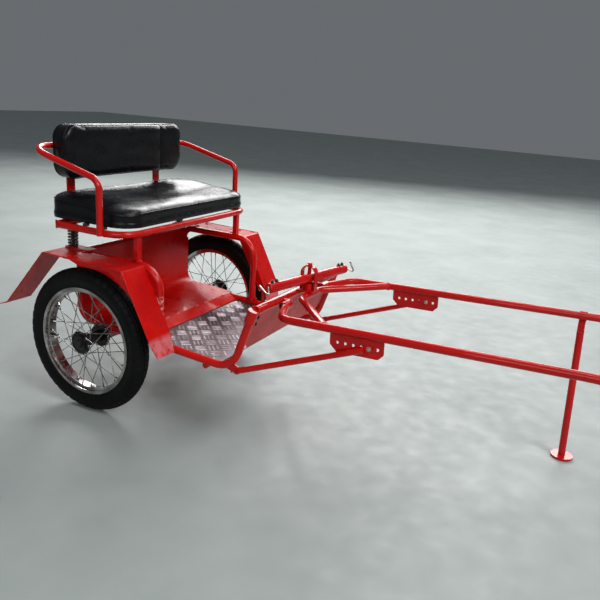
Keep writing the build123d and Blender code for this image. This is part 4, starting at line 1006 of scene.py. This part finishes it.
def blown(piece):
    """Runs the skin as cloth under pressure, without gravity."""
    cloth = piece.modifiers.new("cloth", "CLOTH")
    cloth.settings.quality = 5
    cloth.settings.use_pressure = True
    cloth.settings.uniform_pressure_force = PRESSURE
    cloth.settings.tension_stiffness = CLOTH_STIFFNESS
    cloth.settings.compression_stiffness = CLOTH_STIFFNESS
    cloth.settings.bending_stiffness = CLOTH_BENDING
    cloth.settings.effector_weights.gravity = 0
    cloth.collision_settings.use_collision = False
    cloth.point_cache.frame_start = 1
    cloth.point_cache.frame_end = CLOTH_FRAMES
    for number in range(1, CLOTH_FRAMES + 1):
        bpy.context.scene.frame_set(number)
    apply_all(piece)
    bpy.context.scene.frame_set(1)


def swell(piece, cap, flat_side):
    """Blows the skin up, and caps how far each point may move. Points on the flat base stay."""
    before = [v.co.copy() for v in piece.data.vertices]
    blown(piece)
    for vertex, start in zip(piece.data.vertices, before):
        move = vertex.co - start
        if move.length > cap:
            move = move * (cap / move.length)
        vertex.co = start + move * (1 - flat_side(start))


def shape_points(piece, move):
    for vertex in piece.data.vertices:
        vertex.co = move(vertex.co)
    piece.data.update()


def place_soft(piece, node):
    data = piece.data
    data.polygons.foreach_set("use_smooth", [True] * len(data.polygons))
    data.materials.clear()
    data.materials.append(vinyl.material)
    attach(piece, "chassis")
    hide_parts(node)


def add_piping(name, piece, outline, aim, lift):
    """Piping just off the piece's skin, where rays from the outline's points to their aims meet it."""
    tree = BVHTree.FromPolygons([v.co for v in piece.data.vertices],
                                [tuple(p.vertices) for p in piece.data.polygons])
    line = []
    for point in outline:
        hit, normal, _, _ = tree.ray_cast(point, (aim(point) - point).normalized())
        if hit is not None:
            line.append(hit + normal * lift)
    piping = Shape()
    piping.tube(line, PIPING_R, closed=True)
    piping.mesh(name, vinyl, slot="black_vinyl", angle=60.0)


# Seat cushion: a dished middle and a front that rolls down
cushion_low, cushion_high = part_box("seat_cushion")
seat_mid = (cushion_low + cushion_high) / 2
seat_half = (cushion_high - cushion_low) / 2
SEAT_THICK = cushion_high.z - cushion_low.z
SEAT_CORNERS = (0.084, 0.058)
SEAT_VOXEL, SEAT_CAP, SEAT_CALM = 0.0068, 0.007, 6
SEAT_OVER, SEAT_UNDER = 0.003, 0.006
SEAT_BASE_ROUND, SEAT_FACE_ROUND, SEAT_BASE_SPAN = 0.006, 0.015, (0.001, 0.016)
SEAT_WRINKLE, SEAT_WRINKLE_SCALE = 0.0005, 7
# How far the top falls to the front, over the front's roll, to the sides and in the dish, and where
FRONT_FALL, ROLL_FALL, SIDE_FALL, DISH_FALL = 0.0145, 0.0140, 0.0080, 0.0150
FRONT_SPAN, SIDE_SPAN, DISH_SPAN = (-90, 62), (320, 405), (0.30, 1.05)
ROLL_START, ROLL_LENGTH = 66, 116
DISH_AHEAD, DISH_BEHIND, DISH_BEFORE, DISH_SIDE = -40, 165, 150, 345


def seat_height(x, y):
    """Height of the finished top over the cushion's base."""
    ahead, across = (x - AXLE_X) * 1000, y * 1000
    top = SEAT_THICK + 0.001
    top -= FRONT_FALL * smooth_step(ahead, *FRONT_SPAN)
    top -= ROLL_FALL * held((ahead - ROLL_START) / ROLL_LENGTH, 0.0, 1.0)
    top -= SIDE_FALL * smooth_step(abs(across), *SIDE_SPAN)
    from_dish = ahead - DISH_AHEAD
    reach = math.hypot(from_dish / (DISH_BEHIND if from_dish < 0 else DISH_BEFORE), across / DISH_SIDE)
    return top - DISH_FALL * (1 - smooth_step(reach, *DISH_SPAN))


def seat_form(p):
    """A point of the swollen pad, moved up or down to the finished top by its share of the height."""
    rise = p.z - cushion_low.z
    share = max(rise, 0.0) / SEAT_THICK
    z = cushion_low.z + rise + share * (seat_height(p.x, p.y) - SEAT_THICK)
    wrinkle = SEAT_WRINKLE * noise.noise(p * SEAT_WRINKLE_SCALE) * share
    return Vector((p.x, p.y, z + wrinkle))


cushion = pad_form("cushion_cover", (seat_mid.x, seat_mid.y, cushion_low.z),
                   ((1, 0, 0), (0, 1, 0), (0, 0, 1)), seat_half.x + SEAT_OVER, seat_half.y + SEAT_OVER,
                   SEAT_CORNERS, SEAT_THICK - SEAT_UNDER, SEAT_BASE_ROUND, SEAT_FACE_ROUND)
remeshed(cushion, SEAT_VOXEL)
swell(cushion, SEAT_CAP, lambda p: 1 - smooth_step(p.z - cushion_low.z, *SEAT_BASE_SPAN))
calmed(cushion, SEAT_CALM)
shape_points(cushion, seat_form)
subdivided(cushion)
place_soft(cushion, "seat_cushion")

# The piping round its top, and the roll over the board's edge
SEAM_BELOW_TOP, SEAM_INSIDE = 0.0135, 0.01
SEAT_CLEAR_CORNERS, SEAM_AIM = (0.11, 0.085), (0.11, 0.32)
ROLL_SET_IN, ROLL_RISE = 0.0016, 0.0012
ROLL_THIN, ROLL_TALL, ROLL_SIDES = 0.0020, 0.0098, 12


def inside_seat(p, margin):
    """The nearest point to p, at its height, that lies at least a margin inside the cushion's sides."""
    return Vector((held(p.x, cushion_low.x + margin, cushion_high.x - margin),
                   held(p.y, cushion_low.y + margin, cushion_high.y - margin), p.z))


def seat_seam_aim(p):
    half_x, half_y = SEAM_AIM
    return Vector((held(p.x, seat_mid.x - half_x, seat_mid.x + half_x), held(p.y, -half_y, half_y), p.z))


seat_outline = []
for a, b in even_outline(seat_half.x + CLEAR, seat_half.y + CLEAR, SEAT_CLEAR_CORNERS):
    point = Vector((seat_mid.x + a, seat_mid.y + b, cushion_low.z))
    inner = inside_seat(point, SEAM_INSIDE)
    point.z += seat_height(inner.x, inner.y) - SEAM_BELOW_TOP
    seat_outline.append(point)
add_piping("seat_piping", cushion, seat_outline, seat_seam_aim, 0.0006)

roll_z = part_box("seat_board")[1].z + ROLL_RISE
seat_roll = Shape()
rings = []
for a, b in even_outline(seat_half.x - ROLL_SET_IN, seat_half.y - ROLL_SET_IN, SEAT_CORNERS, 0.008):
    centre = Vector((seat_mid.x + a, seat_mid.y + b, roll_z))
    out = (centre - inside_seat(centre, SEAT_CORNERS[0])).normalized()
    ring = []
    for k in range(ROLL_SIDES):
        turn = TAU * k / ROLL_SIDES
        ring.append(centre + out * ROLL_THIN * math.cos(turn) + Vector((0, 0, ROLL_TALL * math.sin(turn))))
    rings.append(seat_roll.ring(ring))
seat_roll.skin(rings, closed=True)
seat_roll.mesh("seat_lower_edge", vinyl, slot="black_vinyl", angle=60.0)


# Backrest: one upright seam on the left part of its face
back_low, back_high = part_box("backrest_pad")
back_mid = (back_low + back_high) / 2
back_half = (back_high - back_low) / 2
BACK_DEEP = back_high.x - back_low.x
BACK_CORNERS = (0.057, 0.057)
BACK_VOXEL, BACK_CAP, BACK_CALM = 0.0060, 0.0055, 4
BACK_OVER_Y, BACK_OVER_Z, BACK_UNDER, BACK_SET_IN = 0.003, 0.001, 0.006, 0.0005
BACK_BASE_ROUND, BACK_FACE_ROUND, BACK_BASE_SPAN = 0.005, 0.013, (0.001, 0.014)
BACK_WRINKLE, BACK_WRINKLE_SCALES = 0.0009, (9, 26)
BACK_FACE_SPAN, BACK_EDGE_SPAN, EDGE_SHARE = (0.035, 0.062), (0.088, 0.060), 0.45
BACK_SEAM_Y = 0.195
# (depth, half width) of the stitched line and of the dent round it
SEAM_LINE, SEAM_DENT = (0.0030, 0.0042), (0.0022, 0.020)
BACK_SEAM_BEHIND, BACK_CLEAR_CORNERS, BACK_AIM = 0.020, (0.085, 0.085), (0.29, 0.04)


def back_form(p):
    """A point of the swollen pad, pressed in along the seam, less so towards the pad's edges."""
    share = smooth_step(p.x - back_low.x, *BACK_FACE_SPAN)
    dent = sum(deep * math.exp(-((p.y - BACK_SEAM_Y) / wide) ** 2) for deep, wide in (SEAM_LINE, SEAM_DENT))
    middle = smooth_step(abs(p.z - back_mid.z), *BACK_EDGE_SPAN)
    dent *= EDGE_SHARE + (1 - EDGE_SHARE) * middle
    along, up = BACK_WRINKLE_SCALES
    wrinkle = BACK_WRINKLE * noise.noise(Vector((p.y * along, p.z * up, 3.0)))
    return Vector((p.x + (wrinkle - dent) * share, p.y, p.z))


def back_seam_aim(p):
    half_y, half_z = BACK_AIM
    return Vector((p.x, held(p.y, -half_y, half_y), held(p.z, back_mid.z - half_z, back_mid.z + half_z)))


backrest = pad_form("backrest_cover", (back_low.x + BACK_SET_IN, back_mid.y, back_mid.z),
                    ((0, 1, 0), (0, 0, 1), (1, 0, 0)), back_half.y + BACK_OVER_Y, back_half.z + BACK_OVER_Z,
                    BACK_CORNERS, BACK_DEEP - BACK_UNDER, BACK_BASE_ROUND, BACK_FACE_ROUND)
remeshed(backrest, BACK_VOXEL)
swell(backrest, BACK_CAP, lambda p: 1 - smooth_step(p.x - back_low.x, *BACK_BASE_SPAN))
calmed(backrest, BACK_CALM)
subdivided(backrest)
shape_points(backrest, back_form)
place_soft(backrest, "backrest_pad")

back_outline = [Vector((back_low.x + BACK_DEEP - BACK_SEAM_BEHIND, back_mid.y + a, back_mid.z + b))
                for a, b in even_outline(back_half.y + CLEAR, back_half.z + CLEAR, BACK_CLEAR_CORNERS)]
add_piping("backrest_piping", backrest, back_outline, back_seam_aim, 0.0005)


# Plain pale floor and soft studio light
FLOOR_SIZE, FLOOR_Z = 40, -0.0004
WORLD_COLOUR, WORLD_STRENGTH = (0.86, 0.93, 1.0, 1), 0.16
# (name, place, point it faces, watts, width, height)
SOFTBOXES = (
    ("window_behind", (-2.4, 6.0, 4.15), (-0.3, 0, 0.6), 640, 8.0, 2.4),
    ("key", (7.6, -2.6, 7.2), (-0.3, 0, 0.5), 560, 4.2, 3.0),
    ("roof_strip", (0.2, 0.2, 4.2), (-0.1, 0, 0.4), 45, 4.0, 0.3),
    ("fill", (1.0, -6.0, 3.2), (-0.2, 0, 0.4), 85, 3.6, 2.4),
)

bpy.ops.mesh.primitive_plane_add(size=FLOOR_SIZE, location=(0, 0, FLOOR_Z))
ground = bpy.context.object
ground.name = "floor"
pale_floor = mottled("pale_floor", (2.2, 5.0), ((0.3, (0.31, 0.345, 0.33)), (0.7, (0.38, 0.415, 0.40))),
                     (12.0, 4.0), 0.5, 0.75)
ground.data.materials.append(pale_floor.material)

world = bpy.data.worlds.new("studio")
bpy.context.scene.world = world
world.use_nodes = True
world.node_tree.nodes["Background"].inputs["Color"].default_value = WORLD_COLOUR
world.node_tree.nodes["Background"].inputs["Strength"].default_value = WORLD_STRENGTH

for name, place, aim, watts, width, height in SOFTBOXES:
    lamp = bpy.data.objects.new(name, bpy.data.lights.new(name, "AREA"))
    bpy.context.scene.collection.objects.link(lamp)
    lamp.data.energy = watts
    lamp.data.shape = "RECTANGLE"
    lamp.data.size = width
    lamp.data.size_y = height
    lamp.location = place
    lamp.rotation_euler = (Vector(aim) - Vector(place)).to_track_quat("-Z", "Y").to_euler()
bpy.context.scene.view_settings.view_transform = "Standard"
